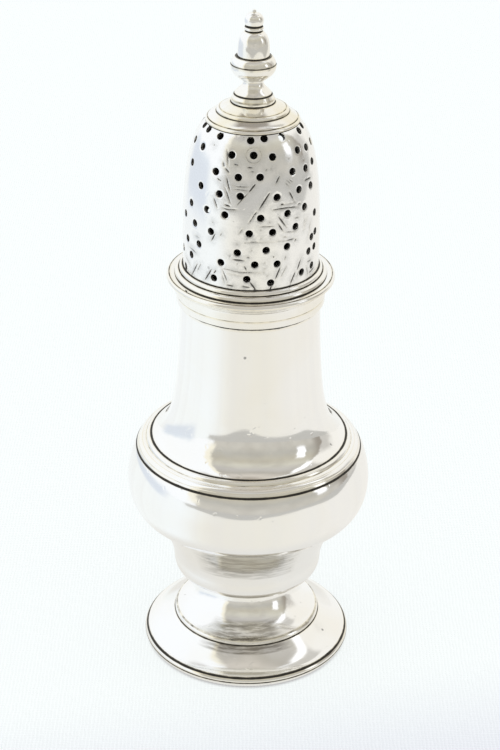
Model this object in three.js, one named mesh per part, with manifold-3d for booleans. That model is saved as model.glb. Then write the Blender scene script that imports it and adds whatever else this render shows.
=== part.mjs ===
// A silver sugar caster: a baluster body on a spreading foot, and a pierced cover that lifts off.
// Millimetres, +Z up. The origin is the middle of the foot's underside.

import * as THREE from "three";
import { mergeGeometries, mergeVertices } from "three/addons/utils/BufferGeometryUtils.js";
import Module from "manifold-3d";

// Sheet, seams and fits
const bodyWall = 0.8;
const coverWall = 0.8;
const seamWidth = 1.3;
const sleeveClearance = 0.15;
const tangClearance = 0.3;

// Foot: a moulded wire, a dished tread that rises inwards, and a hollow stem
const footRadius = 25.3;
const footSoleInset = 1.6;
const footEdgeRise = 1.3;
const footEdgeHeight = 0.7;
const footWireHeight = 3.1;
const footWireTopInset = 0.9;
const footSeatWidth = 2.2;
const treadRise = 4.3;
const stepRadius = 17.7;
const stepHeight = 0.6;
const stemShoulderInset = 0.4;
const stemShoulderRise = 0.6;
const stemHeight = 8.8;
const waistRadius = 9.9;

// Body: a round lower bowl that flares out to meet a wide belly, a waisted neck
const bowlCollarProud = 0.4;
const bowlCollarRise = 0.8;
const bowlRise = 7.2;
const bowlRadius = 17.85;
const bowlFlareRise = 12.3;
const bellyFootRadius = 22.5;
const bellyRise = 9.5;
const bellyRadius = 28.8;
const shoulderRise = 8.4;
const shoulderInset = 2.2;
const neckHeight = 34.6;
const neckRadius = 16;

// Applied mouldings of the body
const girdleHeight = 2.8;
const girdleWidth = 3.5;
const girdleBeadHeight = 0.9;
const girdleBeadWidth = 1.2;
const girdleBulge = 0.45;
const girdleBeadBulge = 0.3;
const rimBandProud = 1;
const rimBandRise = 0.6;
const rimBandHeight = 3.9;
const rimProud = 3.2;
const rimHeight = 7.2;
const rimLipHeight = 0.9;
const rimLipInset = 0.6;
const rimLipBulge = 0.2;

// Cover: two wires on the rim, a sleeve that slides in the mouth, a pierced dome, a stepped crown
const sleeveDepth = 8;
const coverWireProud = 2;
const coverWireHeight = 1.1;
const coverBeadProud = 0.9;
const coverBeadHeight = 1;
const coverWireBulge = 0.35;
const domeHeight = 34.3;
const domeOverhang = 0.35;
const crownRadius = 10.4;
const crownBandHeight = 0.9;
const crownBandInset = 0.5;
const crownBandBulge = 0.25;
const crownBeadRise = 2.2;
const crownBeadInset = 2.4;
const crownBeadHeight = 0.8;
const crownBeadWidth = 0.7;
const crownBeadBulge = 0.25;
const crownHeight = 4.2;

// Piercing: five leaning groups of three holes in each of nine rows
const holeDiameter = 1.7;
const holeSides = 6;
const holeRows = 9;
const holeGroups = 5;
const holesInGroup = 3;
const holePitchDegrees = 20;
const firstGroupDegrees = -94;
const rowTurnDegrees = 93;
const rowTurnPower = 1.33;
const firstRowRise = 2.2;
const lastRowDrop = 1.2;

// Finial: one casting with a tang that goes through the crown
const finialBaseRadius = 4.8;
const finialBaseHeight = 0.8;
const finialBellRadius = 4.2;
const finialBellRise = 1.1;
const finialNeckRadius = 2.2;
const finialNeckRise = 2.7;
const knopRise = 3.4;
const knopRadius = 5;
const knopFall = 2.3;
const knopTopRadius = 3.9;
const acornRadius = 3.5;
const acornHeight = 5.6;
const acornTopRadius = 1.7;
const collarRadius = 1.8;
const collarHeight = 1.1;
const collarBulge = 0.4;
const ballRadius = 2.1;
const ballRise = 1.2;
const ballFall = 1.7;
const tipRadius = 0.45;
const tipHeight = 0.6;
const tangRadius = 1.5;
const tangDepth = 2.2;

// Curve handles: each pair is a share of the way out and a share of the way up between two points
const treadShares = [[0.3, 0.1], [0.75, 0.7]];
const stemShares = [[0.4, 0.08], [1, 0.45]];
const bowlShares = [[0.94, 0.35], [0.98, 0.51]];
const bowlFlareShares = [[0.01, 0.28], [0.525, 0.65]];
const bellyShares = [[0.68, 0.13], [1, 0.43]];
const shoulderShares = [[0, 0.34], [0.475, 0.83]];
const neckShares = [[0.74, 0.08], [0.9, 0.28]];
const rimFlareShares = [[0.05, 0.5], [0.8, 0.75]];
const domeShares = [[-0.04, 0.48], [0.08, 0.87]];
const crownSlopeShares = [[0.2, 0.45], [0.85, 0.8]];
const crownTopShares = [[0.3, 0.35], [0.7, 0.75]];
const finialNeckShares = [[0.3, 0.35], [1, 0.6]];
const knopShares = [[0.25, 0.2], [1, 0.5]];
const knopTopShares = [[0, 0.4], [0.5, 0.9]];
const acornShares = [[-0.08, 0.55], [0.2, 0.9]];
const ballRiseShares = [[0.6, 0.25], [1, 0.6]];
const ballFallShares = [[0, 0.5], [0.4, 0.95]];
const pinLengthShare = 2.5;

// How finely the round shapes are divided
const bodySides = 36;
const domeSides = 24;
const finialSides = 16;
const longSteps = 7;
const mediumSteps = 5;
const shortSteps = 3;
const innerStride = 2;

// Heights of the seams, from the ground up
const treadBottom = footWireHeight;
const stemBottom = treadBottom + treadRise + stepHeight;
const bowlBottom = stemBottom + stemHeight;
const bellyBottom = bowlBottom + bowlRise + bowlFlareRise;
const girdleBottom = bellyBottom + bellyRise + shoulderRise;
const neckBottom = girdleBottom + girdleHeight;
const rimBottom = neckBottom + neckHeight;
const rimTop = rimBottom + rimHeight;
const domeBottom = rimTop + coverWireHeight + coverBeadHeight;
const crownBottom = domeBottom + domeHeight;
const finialBottom = crownBottom + crownHeight;

// Radii that follow from the sizes above
const footWireTopRadius = footRadius - footWireTopInset;
const shoulderRadius = bellyRadius - shoulderInset;
const neckFootRadius = shoulderRadius - girdleWidth;
const mouthRadius = neckRadius - bodyWall;
const sleeveRadius = mouthRadius - sleeveClearance;
const sleeveBore = sleeveRadius - coverWall;
const domeRadius = sleeveRadius + domeOverhang;

const at = (radius, height) => new THREE.Vector2(radius, height);

// A curve between two points, drawn with two handles.
function curveBetween(from, to, handleShares) {
  const [first, second] = handleShares.map(([out, up]) =>
    at(THREE.MathUtils.lerp(from.x, to.x, out), THREE.MathUtils.lerp(from.y, to.y, up)));
  return new THREE.CubicBezierCurve(from, first, second, to);
}

function sweep(from, to, handleShares, steps) {
  return curveBetween(from, to, handleShares).getPoints(steps);
}

// A rounded bead between two points that stands out from the line between them.
function bead(from, to, bulge, steps) {
  const side = at(to.y - from.y, from.x - to.x).normalize();
  return Array.from({ length: steps + 1 }, (_, index) => {
    const along = index / steps;
    return from.clone().lerp(to, along).addScaledVector(side, bulge * Math.sin(Math.PI * along));
  });
}

// Joins stretches of outline, leaving out a point that repeats the one before it.
function join(...stretches) {
  return stretches.flat().filter((point, index, all) => index === 0 || !point.equals(all[index - 1]));
}

// The inside of a sheet: the outline moved in by the wall, with flat seats at its two ends.
function insideOf(outline, wall, lowerSeat, upperSeat) {
  const last = outline.length - 1;
  const bottom = outline[0].y;
  const inside = [];
  for (let index = innerStride; index < last; index += innerStride) {
    const along = outline[index + 1].clone().sub(outline[index - 1]).normalize();
    inside.push(at(outline[index].x - wall * along.y, outline[index].y + wall * along.x));
  }
  const clear = inside.filter((point) => point.y > bottom);
  return [at(outline[0].x - lowerSeat, bottom), ...clear, at(outline[last].x - upperSeat, outline[last].y)];
}

// A piece turned about the Z axis from an outline that closes on itself or ends on the axis.
function turned(outline, sides) {
  return new THREE.LatheGeometry(outline, sides).rotateX(Math.PI / 2);
}

// A ring of metal between an outer outline and an inner one, both drawn from the bottom up.
function ring(outer, inner, sides) {
  return turned([...outer, ...inner.toReversed(), outer[0].clone()], sides);
}

function sheetRing(outline, wall, lowerSeat, upperSeat, sides) {
  return ring(outline, insideOf(outline, wall, lowerSeat, upperSeat), sides);
}

// Foot

function footWire() {
  const outer = [
    at(footRadius - footSoleInset, 0),
    at(footRadius, footEdgeRise),
    at(footRadius, footEdgeRise + footEdgeHeight),
    at(footWireTopRadius, footWireHeight),
  ];
  const bore = footWireTopRadius - footSeatWidth;
  return ring(outer, [at(bore, 0), at(bore, footWireHeight)], bodySides);
}

function footTread() {
  const edge = at(footWireTopRadius, treadBottom);
  const corner = at(stepRadius, treadBottom + treadRise);
  const outline = join(sweep(edge, corner, treadShares, mediumSteps), [at(stepRadius, stemBottom)]);
  return sheetRing(outline, bodyWall, footSeatWidth, seamWidth, bodySides);
}

function footStem() {
  const shoulder = at(stepRadius - stemShoulderInset, stemBottom + stemShoulderRise);
  const waist = at(waistRadius, bowlBottom);
  const outline = join([at(stepRadius, stemBottom)], sweep(shoulder, waist, stemShares, longSteps));
  return sheetRing(outline, bodyWall, seamWidth, seamWidth, bodySides);
}

// Body

function lowerBowl() {
  const collar = at(waistRadius + bowlCollarProud, bowlBottom + bowlCollarRise);
  const widest = at(bowlRadius, bowlBottom + bowlRise);
  const seam = at(bellyFootRadius, bellyBottom);
  const outline = join(
    [at(waistRadius, bowlBottom)],
    sweep(collar, widest, bowlShares, longSteps),
    sweep(widest, seam, bowlFlareShares, mediumSteps),
  );
  const floorHeight = bowlBottom + bodyWall;
  const inside = insideOf(outline, bodyWall, seamWidth, seamWidth).slice(1);
  const floor = [at(0, floorHeight), at(waistRadius - bodyWall, floorHeight)];
  return turned([at(0, bowlBottom), ...outline, ...inside.toReversed(), ...floor.toReversed()], bodySides);
}

function belly() {
  const seam = at(bellyFootRadius, bellyBottom);
  const widest = at(bellyRadius, bellyBottom + bellyRise);
  const shoulder = at(shoulderRadius, girdleBottom);
  const outline = join(
    sweep(seam, widest, bellyShares, longSteps),
    sweep(widest, shoulder, shoulderShares, mediumSteps),
  );
  return sheetRing(outline, bodyWall, seamWidth, seamWidth, bodySides);
}

function girdle() {
  const groove = at(neckFootRadius + girdleBeadWidth, neckBottom - girdleBeadHeight);
  const outer = join(
    bead(at(shoulderRadius, girdleBottom), groove, girdleBulge, mediumSteps),
    bead(groove, at(neckFootRadius, neckBottom), girdleBeadBulge, shortSteps),
  );
  const inner = [at(shoulderRadius - seamWidth, girdleBottom), at(neckFootRadius - seamWidth, neckBottom)];
  return ring(outer, inner, bodySides);
}

function neck() {
  const outline = sweep(at(neckFootRadius, neckBottom), at(neckRadius, rimBottom), neckShares, longSteps);
  return sheetRing(outline, bodyWall, seamWidth, bodyWall, bodySides);
}

function rim() {
  const bandRadius = neckRadius + rimBandProud;
  const lip = at(neckRadius + rimProud, rimTop - rimLipHeight);
  const outer = join(
    [at(neckRadius, rimBottom), at(bandRadius, rimBottom + rimBandRise)],
    sweep(at(bandRadius, rimBottom + rimBandHeight), lip, rimFlareShares, mediumSteps),
    bead(lip, at(lip.x - rimLipInset, rimTop), rimLipBulge, shortSteps),
  );
  return ring(outer, [at(mouthRadius, rimBottom), at(mouthRadius, rimTop)], bodySides);
}

// Cover

function coverSleeve() {
  const bottom = rimTop - sleeveDepth;
  const outer = [at(sleeveRadius, bottom), at(sleeveRadius, rimTop)];
  return ring(outer, [at(sleeveBore, bottom), at(sleeveBore, rimTop)], bodySides);
}

function coverWires() {
  const groove = at(domeRadius + coverBeadProud, rimTop + coverWireHeight);
  const outer = join(
    bead(at(domeRadius + coverWireProud, rimTop), groove, coverWireBulge, shortSteps),
    bead(groove, at(domeRadius, domeBottom), coverWireBulge, shortSteps),
  );
  return ring(outer, [at(sleeveBore, rimTop), at(sleeveBore, domeBottom)], bodySides);
}

const domeFoot = at(domeRadius, domeBottom);
const domeTop = at(crownRadius, crownBottom);

// One short six-sided pin, square to the dome, that cuts a hole. Its place is a distance up the metal.
function holePin(distance, angle) {
  const curve = curveBetween(domeFoot, domeTop, domeShares);
  const upShare = distance / curve.getLength();
  const { x: radius, y: height } = curve.getPointAt(upShare);
  const along = curve.getTangentAt(upShare);
  const outwards = new THREE.Vector3(along.y, 0, -along.x);
  const length = coverWall * pinLengthShare;
  const pin = new THREE.CylinderGeometry(holeDiameter / 2, holeDiameter / 2, length, holeSides);
  pin.applyQuaternion(new THREE.Quaternion().setFromUnitVectors(new THREE.Vector3(0, 1, 0), outwards));
  const middle = new THREE.Vector3(radius, 0, height).addScaledVector(outwards, -coverWall / 2);
  return pin.translate(middle.x, 0, middle.z).rotateZ(angle);
}

function holePins() {
  const domeLength = curveBetween(domeFoot, domeTop, domeShares).getLength();
  const pins = [];
  for (let row = 0; row < holeRows; row += 1) {
    const rowShare = row / (holeRows - 1);
    const distance = THREE.MathUtils.lerp(firstRowRise, domeLength - lastRowDrop, rowShare);
    const rowDegrees = firstGroupDegrees + rowTurnDegrees * rowShare ** rowTurnPower;
    for (let group = 0; group < holeGroups; group += 1) {
      for (let hole = 0; hole < holesInGroup; hole += 1) {
        const groupDegrees = group * 360 / holeGroups + (hole - (holesInGroup - 1) / 2) * holePitchDegrees;
        pins.push(holePin(distance, THREE.MathUtils.degToRad(rowDegrees + groupDegrees)));
      }
    }
  }
  return mergeGeometries(pins);
}

const wasm = await Module();
wasm.setup();

function solidOf(geometry) {
  const bare = geometry.clone();
  bare.deleteAttribute("normal");
  bare.deleteAttribute("uv");
  const merged = mergeVertices(bare);
  const vertProperties = new Float32Array(merged.attributes.position.array);
  const triVerts = new Uint32Array(merged.index.array);
  return new wasm.Manifold(new wasm.Mesh({ numProp: 3, vertProperties, triVerts }));
}

function geometryOf(solid) {
  const mesh = solid.getMesh();
  const geometry = new THREE.BufferGeometry();
  geometry.setAttribute("position", new THREE.BufferAttribute(mesh.vertProperties, 3));
  geometry.setIndex(new THREE.BufferAttribute(mesh.triVerts, 1));
  geometry.computeVertexNormals();
  return geometry;
}

function piercedDome() {
  const outline = sweep(domeFoot, domeTop, domeShares, mediumSteps);
  const shell = sheetRing(outline, coverWall, coverWall, coverWall, domeSides);
  return geometryOf(solidOf(shell).subtract(solidOf(holePins())));
}

function crown() {
  const bandTop = at(crownRadius - crownBandInset, crownBottom + crownBandHeight);
  const beadBottom = at(crownRadius - crownBeadInset, crownBottom + crownBeadRise);
  const beadTop = at(beadBottom.x - crownBeadWidth, beadBottom.y + crownBeadHeight);
  const outline = join(
    bead(at(crownRadius, crownBottom), bandTop, crownBandBulge, shortSteps),
    sweep(bandTop, beadBottom, crownSlopeShares, shortSteps),
    bead(beadBottom, beadTop, crownBeadBulge, shortSteps),
    sweep(beadTop, at(finialBaseRadius, finialBottom), crownTopShares, shortSteps),
  );
  const hole = tangRadius + tangClearance;
  const inside = insideOf(outline, coverWall, coverWall, 0).slice(0, -1);
  const plate = [at(hole, finialBottom - coverWall), at(hole, finialBottom)];
  return ring(outline, [...inside, ...plate], domeSides);
}

function finial() {
  const base = at(finialBaseRadius, finialBottom + finialBaseHeight);
  const bell = at(finialBellRadius, base.y + finialBellRise);
  const waist = at(finialNeckRadius, bell.y + finialNeckRise);
  const knop = at(knopRadius, waist.y + knopRise);
  const knopTop = at(knopTopRadius, knop.y + knopFall);
  const acornTop = at(acornTopRadius, knopTop.y + acornHeight);
  const collarTop = at(collarRadius, acornTop.y + collarHeight);
  const ballMiddle = at(ballRadius, collarTop.y + ballRise);
  const ballTop = at(tipRadius, ballMiddle.y + ballFall);
  const tangBottom = finialBottom - tangDepth;
  const outline = join(
    [at(0, tangBottom), at(tangRadius, tangBottom), at(tangRadius, finialBottom)],
    [at(finialBaseRadius, finialBottom), base],
    sweep(bell, waist, finialNeckShares, shortSteps),
    sweep(waist, knop, knopShares, mediumSteps),
    sweep(knop, knopTop, knopTopShares, shortSteps),
    sweep(at(acornRadius, knopTop.y), acornTop, acornShares, mediumSteps),
    bead(acornTop, collarTop, collarBulge, shortSteps),
    sweep(collarTop, ballMiddle, ballRiseShares, shortSteps),
    sweep(ballMiddle, ballTop, ballFallShares, shortSteps),
    [at(tipRadius, ballTop.y + tipHeight), at(0, ballTop.y + tipHeight)],
  );
  return turned(outline, finialSides);
}

function piece(name, geometry, color, roughness) {
  const mesh = new THREE.Mesh(geometry, new THREE.MeshStandardMaterial({ color, roughness, metalness: 1 }));
  mesh.name = name;
  return mesh;
}

const body = new THREE.Group();
body.add(
  piece("foot_rim_wire", footWire(), 0xd6d0c2, 0.16),
  piece("foot_tread", footTread(), 0xdedbd4, 0.14),
  piece("foot_stem", footStem(), 0xd8d3c8, 0.15),
  piece("lower_bowl", lowerBowl(), 0xe0ddd8, 0.12),
  piece("belly", belly(), 0xe3e1de, 0.1),
  piece("girdle_wire", girdle(), 0xd6cfbf, 0.16),
  piece("neck", neck(), 0xe6e4e0, 0.12),
  piece("mouth_rim", rim(), 0xe2dccb, 0.14),
);

const cover = new THREE.Group();
cover.add(
  piece("cover_sleeve", coverSleeve(), 0xd0ccc4, 0.2),
  piece("cover_wires", coverWires(), 0xd4ccb6, 0.16),
  piece("pierced_dome", piercedDome(), 0xe1deda, 0.15),
  piece("crown", crown(), 0xd9d0b8, 0.15),
  piece("finial", finial(), 0xdad5ca, 0.14),
);

const caster = new THREE.Group();
caster.add(body, cover);

export default caster;
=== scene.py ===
# %% [markdown]
# A silver sugar caster, about 160 mm tall, made the way a silversmith builds one: thin sheets raised over
# stakes, wires drawn through plates and bent into rings, a cast knob, all turned about one axis. The packed
# model holds the true sizes and the joint, so it is loaded first and every new piece takes its place from it.

import math

import bmesh
import bpy
from mathutils import Matrix, Vector, geometry, kdtree
from mathutils.bvhtree import BVHTree


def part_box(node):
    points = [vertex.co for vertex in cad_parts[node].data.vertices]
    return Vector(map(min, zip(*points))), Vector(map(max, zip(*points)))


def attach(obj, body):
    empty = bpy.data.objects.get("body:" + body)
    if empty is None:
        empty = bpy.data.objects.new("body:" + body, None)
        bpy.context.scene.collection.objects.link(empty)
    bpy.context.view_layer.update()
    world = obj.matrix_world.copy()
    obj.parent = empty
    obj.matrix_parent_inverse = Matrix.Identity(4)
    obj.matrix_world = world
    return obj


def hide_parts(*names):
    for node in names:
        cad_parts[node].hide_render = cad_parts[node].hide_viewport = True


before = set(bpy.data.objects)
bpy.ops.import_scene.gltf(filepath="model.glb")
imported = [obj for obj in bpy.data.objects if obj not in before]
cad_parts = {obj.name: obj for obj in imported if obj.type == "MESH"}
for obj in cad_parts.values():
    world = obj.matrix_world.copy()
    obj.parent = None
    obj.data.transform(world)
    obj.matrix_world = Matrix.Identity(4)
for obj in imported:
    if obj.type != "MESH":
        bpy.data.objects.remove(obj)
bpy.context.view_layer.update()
mm = 0.001


# %% [markdown]
# Every seam between two pieces is flat and level, so the height of a seam is the top of one piece and the
# bottom of the next. Three small helpers read these sizes from the frame.

# %% Sizes from the frame
def bottom_of(node):
    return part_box(node)[0].z


def top_of(node):
    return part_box(node)[1].z


def radius_of(node):
    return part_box(node)[1].x


body_wall = 0.8 * mm
cover_wall = 0.8 * mm
print("foot", round(2 * radius_of("foot_rim_wire") / mm, 1), "mm across, widest",
      round(2 * radius_of("belly") / mm, 1), "mm across")

# %% [markdown]
# The photograph was taken with a long lens from above the front. The lens sits on a line that passes close to
# the middle of the caster, tips down by its slope, and is rolled a little. The same numbers serve twice: the
# camera stands there, and marks seen in the photograph are put back on the silver by sending a ray from it.

# %% Camera
photo_width, photo_height = 500, 750
lens_in_pixels = 1950
camera_slope = math.radians(27.77)
camera_roll = math.radians(0.76)
camera_distance = 456 * mm
camera_aim = Vector((0.14 * mm, 0, 71.93 * mm))

camera_place = (
    Matrix.Translation(camera_aim)
    @ Matrix.Rotation(math.pi / 2 - camera_slope, 4, "X")
    @ Matrix.Rotation(camera_roll, 4, "Z")
    @ Matrix.Translation((0, 0, camera_distance))
)
camera_data = bpy.data.cameras.new("camera")
camera_data.sensor_fit = "VERTICAL"
camera_data.sensor_height = 36
camera_data.lens = camera_data.sensor_height * lens_in_pixels / photo_height
camera_data.clip_start = 10 * mm
camera = bpy.data.objects.new("camera", camera_data)
camera.matrix_world = camera_place
bpy.context.scene.collection.objects.link(camera)
bpy.context.scene.camera = camera
print("lens", round(camera_data.lens, 1), "mm, camera", round(camera_place.translation.z / mm), "mm up")


# %% [markdown]
# Old silver is never one even grey. Polish leaves fine lines that run round a turned piece, the hammer leaves
# a faint wave that bends every reflection, and a dark sulphide stays wherever the cloth can't reach: beside
# the wires, in the cuts and under the knob. Each effect is a small node group, so the finishes of the caster
# share them and only set their own amounts. The piece's own "dirt" attribute says where a recess is.

# %% Node helpers
def add_node(tree, kind, **settings):
    made = tree.nodes.new(kind)
    for setting, value in settings.items():
        setattr(made, setting, value)
    return made


def new_group(name, inputs, outputs):
    """An empty shader group with float inputs (name: value) and outputs (name: kind)."""
    tree = bpy.data.node_groups.new(name, "ShaderNodeTree")
    for label, value in inputs.items():
        socket = tree.interface.new_socket(label, in_out="INPUT", socket_type="NodeSocketFloat")
        socket.default_value = value
    for label, kind in outputs.items():
        tree.interface.new_socket(label, in_out="OUTPUT", socket_type=kind)
    return tree, tree.nodes.new("NodeGroupInput"), tree.nodes.new("NodeGroupOutput")


def maths(tree, operation, first, second=None, third=None, clamp=False):
    made = add_node(tree, "ShaderNodeMath", operation=operation, use_clamp=clamp)
    for socket, value in zip(made.inputs, (first, second, third)):
        if value is None:
            continue
        if isinstance(value, (int, float)):
            socket.default_value = value
        else:
            tree.links.new(value, socket)
    return made.outputs[0]


def noise_at(tree, vector, scale, detail=2.0, roughness=0.5, distortion=0.0):
    made = add_node(tree, "ShaderNodeTexNoise")
    made.inputs["Detail"].default_value = detail
    made.inputs["Roughness"].default_value = roughness
    made.inputs["Distortion"].default_value = distortion
    tree.links.new(vector, made.inputs["Vector"])
    if isinstance(scale, (int, float)):
        made.inputs["Scale"].default_value = scale
    else:
        tree.links.new(scale, made.inputs["Scale"])
    return made.outputs["Fac"]


def ramp(tree, value, low, high, smooth=True):
    """Maps value to 0 at low and 1 at high."""
    made = add_node(tree, "ShaderNodeMapRange", interpolation_type="SMOOTHSTEP" if smooth else "LINEAR")
    tree.links.new(value, made.inputs["Value"])
    made.inputs["From Min"].default_value = low
    made.inputs["From Max"].default_value = high
    return made.outputs["Result"]


print("a ramp between two values and a few other node helpers are ready")


# %% [markdown]
# The effects read where on the caster they are. A turned piece is best described by its height, by how far
# from the axis a place lies, and by how far round from the front it is, so three more helpers make these from
# the plain coordinates.

# %% Places on a turned piece
def object_places(tree):
    return add_node(tree, "ShaderNodeTexCoord").outputs["Object"]


def attribute_of_piece(tree, name):
    return add_node(tree, "ShaderNodeAttribute", attribute_name=name).outputs["Fac"]


def taken_apart(tree, vector):
    """The X, Y and Z of a vector as sockets."""
    made = add_node(tree, "ShaderNodeSeparateXYZ")
    tree.links.new(vector, made.inputs[0])
    return made.outputs["X"], made.outputs["Y"], made.outputs["Z"]


def put_together(tree, *parts):
    """A vector from up to three sockets."""
    made = add_node(tree, "ShaderNodeCombineXYZ")
    for part, socket in zip(parts, made.inputs):
        tree.links.new(part, socket)
    return made.outputs[0]


def span_from_axis(tree, x, y):
    squares = maths(tree, "ADD", maths(tree, "MULTIPLY", x, x), maths(tree, "MULTIPLY", y, y))
    return maths(tree, "SQRT", squares)


def turn_from_front(tree, x, y):
    """How far round the axis a place lies: 0 in front, positive to the right, half a turn behind."""
    return maths(tree, "ARCTAN2", x, maths(tree, "MULTIPLY", y, -1.0))


print("turns are counted from the front in radians, so", round(math.pi, 3), "is behind the caster")


# %% [markdown]
# Sulphide lies in a recess, thick at the bottom and broken up towards its edges, because every cleaning took
# some of it away. A coarse noise decides where it survives at all, and a fine one frays its edge. A few lone
# specks sit in the open, where a deep pit kept the cloth out.

# %% Node group: oxide left in the recesses
broad_breaks = 260.0
broad_share = 0.8
frayed_share = 0.6
recess_strength = 1.55
oxide_begins = -0.25
oxide_is_full = 0.35
speck_cells = 150.0
speck_edge = 0.07
speck_core = 0.03
bare_cells = 0.4
full_cells = 0.9


def oxide_group():
    tree, inward, outward = new_group(
        "oxide_left_in_recesses", {"Amount": 1.0, "Breaks": 700.0, "Specks": 0.5},
        {"Mask": "NodeSocketFloat"})
    places = object_places(tree)
    coarse = maths(tree, "MULTIPLY", noise_at(tree, places, broad_breaks, detail=3.0), broad_share)
    fine = maths(tree, "MULTIPLY", noise_at(tree, places, inward.outputs["Breaks"], detail=3.0), frayed_share)
    recess = maths(tree, "MULTIPLY", attribute_of_piece(tree, "dirt"), recess_strength)
    kept = maths(tree, "SUBTRACT", recess, maths(tree, "ADD", coarse, fine))
    mask = ramp(tree, kept, oxide_begins, oxide_is_full)
    cells = add_node(tree, "ShaderNodeTexVoronoi")
    cells.inputs["Scale"].default_value = speck_cells
    tree.links.new(places, cells.inputs["Vector"])
    lone = ramp(tree, cells.outputs["Distance"], speck_edge, speck_core)
    chosen = add_node(tree, "ShaderNodeSeparateColor")
    tree.links.new(cells.outputs["Color"], chosen.inputs[0])
    specks = maths(tree, "MULTIPLY", lone, ramp(tree, chosen.outputs[0], bare_cells, full_cells))
    specks = maths(tree, "MULTIPLY", specks, inward.outputs["Specks"])
    gathered = maths(tree, "MAXIMUM", maths(tree, "MULTIPLY", mask, inward.outputs["Amount"]), specks)
    tree.links.new(maths(tree, "MINIMUM", gathered, 1.0), outward.inputs["Mask"])
    return tree


oxide = oxide_group()
print("oxide group has", len(oxide.nodes), "nodes")


# %% [markdown]
# The polishing cloth was held against the turning or turned piece, so its lines run round the axis. Noise is
# read at a place whose turn about the axis is squeezed and whose height is stretched, which draws it out into
# hairlines. A second, lower noise is the wave that the planishing hammer left: it is long up and down, as the
# blows followed the stake, and it is what makes the edge of every reflection run unevenly.

# %% Node group: polish lines and hammer wave
turn_squeeze = 1.3
height_stretch = 900.0
hairline_scale = 2.2
hairline_depth = 0.004
stake_stretch = (1, 1, 0.55)
wave_scale = 85.0
pit_scale = 480.0
pit_depth = 0.06
pit_edge = 0.35
pit_floor = 0.25
rub_begins = 0.35
rub_is_full = 0.75


def surface_group():
    tree, inward, outward = new_group(
        "polish_lines_and_hammer_wave", {"Lines": 1.0, "Wave": 1.0, "Pits": 1.0},
        {"Height": "NodeSocketFloat", "Rub": "NodeSocketFloat"})
    places = object_places(tree)
    x, y, z = taken_apart(tree, places)
    turn = maths(tree, "ARCTAN2", y, x)
    drawn_out = put_together(
        tree, maths(tree, "MULTIPLY", turn, turn_squeeze), maths(tree, "MULTIPLY", z, height_stretch),
        maths(tree, "MULTIPLY", span_from_axis(tree, x, y), height_stretch))
    hairlines = noise_at(tree, drawn_out, hairline_scale, detail=4.0, roughness=0.65)
    squeezed = add_node(tree, "ShaderNodeVectorMath", operation="MULTIPLY")
    squeezed.inputs[1].default_value = stake_stretch
    tree.links.new(places, squeezed.inputs[0])
    wave = noise_at(tree, squeezed.outputs[0], wave_scale, detail=1.5)
    pits = ramp(tree, noise_at(tree, places, pit_scale, detail=2.0), pit_edge, pit_floor)
    lines = maths(tree, "MULTIPLY", inward.outputs["Lines"], hairline_depth)
    height = maths(tree, "ADD", maths(tree, "MULTIPLY", hairlines, lines),
                   maths(tree, "MULTIPLY", wave, inward.outputs["Wave"]))
    sunk = maths(tree, "MULTIPLY", pits, maths(tree, "MULTIPLY", inward.outputs["Pits"], pit_depth))
    tree.links.new(maths(tree, "SUBTRACT", height, sunk), outward.inputs["Height"])
    tree.links.new(ramp(tree, hairlines, rub_begins, rub_is_full), outward.inputs["Rub"])
    return tree


surface = surface_group()
print("surface group has", len(surface.nodes), "nodes")


# %% [markdown]
# A thin yellow-brown film comes before the dark sulphide. It lies round the recesses and in wide soft
# patches.

# %% Node group: warm film
patch_scale = 60.0
patch_edge = 0.35
patch_middle = 0.7
film_spread = 0.5


def film_group():
    tree, inward, outward = new_group(
        "warm_film_of_age", {"Everywhere": 0.2, "In recesses": 1.0}, {"Mask": "NodeSocketFloat"})
    patchy = noise_at(tree, object_places(tree), patch_scale, detail=3.0, distortion=0.6)
    patches = ramp(tree, patchy, patch_edge, patch_middle)
    wide = maths(tree, "MULTIPLY", patches, inward.outputs["Everywhere"])
    round_recesses = maths(tree, "POWER", attribute_of_piece(tree, "dirt"), film_spread)
    near = maths(tree, "MULTIPLY", round_recesses, inward.outputs["In recesses"])
    tree.links.new(maths(tree, "ADD", wide, near, clamp=True), outward.inputs["Mask"])
    return tree


film = film_group()
print("film group has", len(film.nodes), "nodes")


# %% [markdown]
# Where the graver worked and where polish never reaches well, the silver is scuffed: greyer, rougher and
# streaky. The attribute "dull" says where.

# %% Node group: scuffed silver
scuff_edge = 0.3
scuff_middle = 0.62
scuff_streak_share = 0.75


def streaky(tree, mask, streaks, streak_share):
    """A mask of which a share is broken up by streaks, and the rest is left even."""
    broken = maths(tree, "ADD", maths(tree, "MULTIPLY", streaks, streak_share), 1 - streak_share)
    return maths(tree, "MULTIPLY", mask, broken)


def scuff_group():
    tree, inward, outward = new_group(
        "scuffed_silver", {"Amount": 1.0, "Grain": 500.0}, {"Mask": "NodeSocketFloat"})
    grain = noise_at(tree, object_places(tree), inward.outputs["Grain"], detail=3.0, distortion=1.0)
    streaks = ramp(tree, grain, scuff_edge, scuff_middle)
    spread = streaky(tree, attribute_of_piece(tree, "dull"), streaks, scuff_streak_share)
    amount = inward.outputs["Amount"]
    tree.links.new(maths(tree, "MULTIPLY", spread, amount, clamp=True), outward.inputs["Mask"])
    return tree


scuff = scuff_group()
print("scuff group has", len(scuff.nodes), "nodes")


# %% [markdown]
# A last effect is painted shade in streaks: a brown darkening that stands in for the dark reflections and
# the shade on the front of the silver. Its noise is drawn out round the axis as the polish lines are, and a
# vertex attribute says where it lies.

# %% Node group: streaks of painted shade
shade_streak_squeeze = 2.4
shade_streak_scale = 1.6
shade_streak_edge = 0.34
shade_streak_middle = 0.62
shade_streak_share = 0.7


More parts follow.
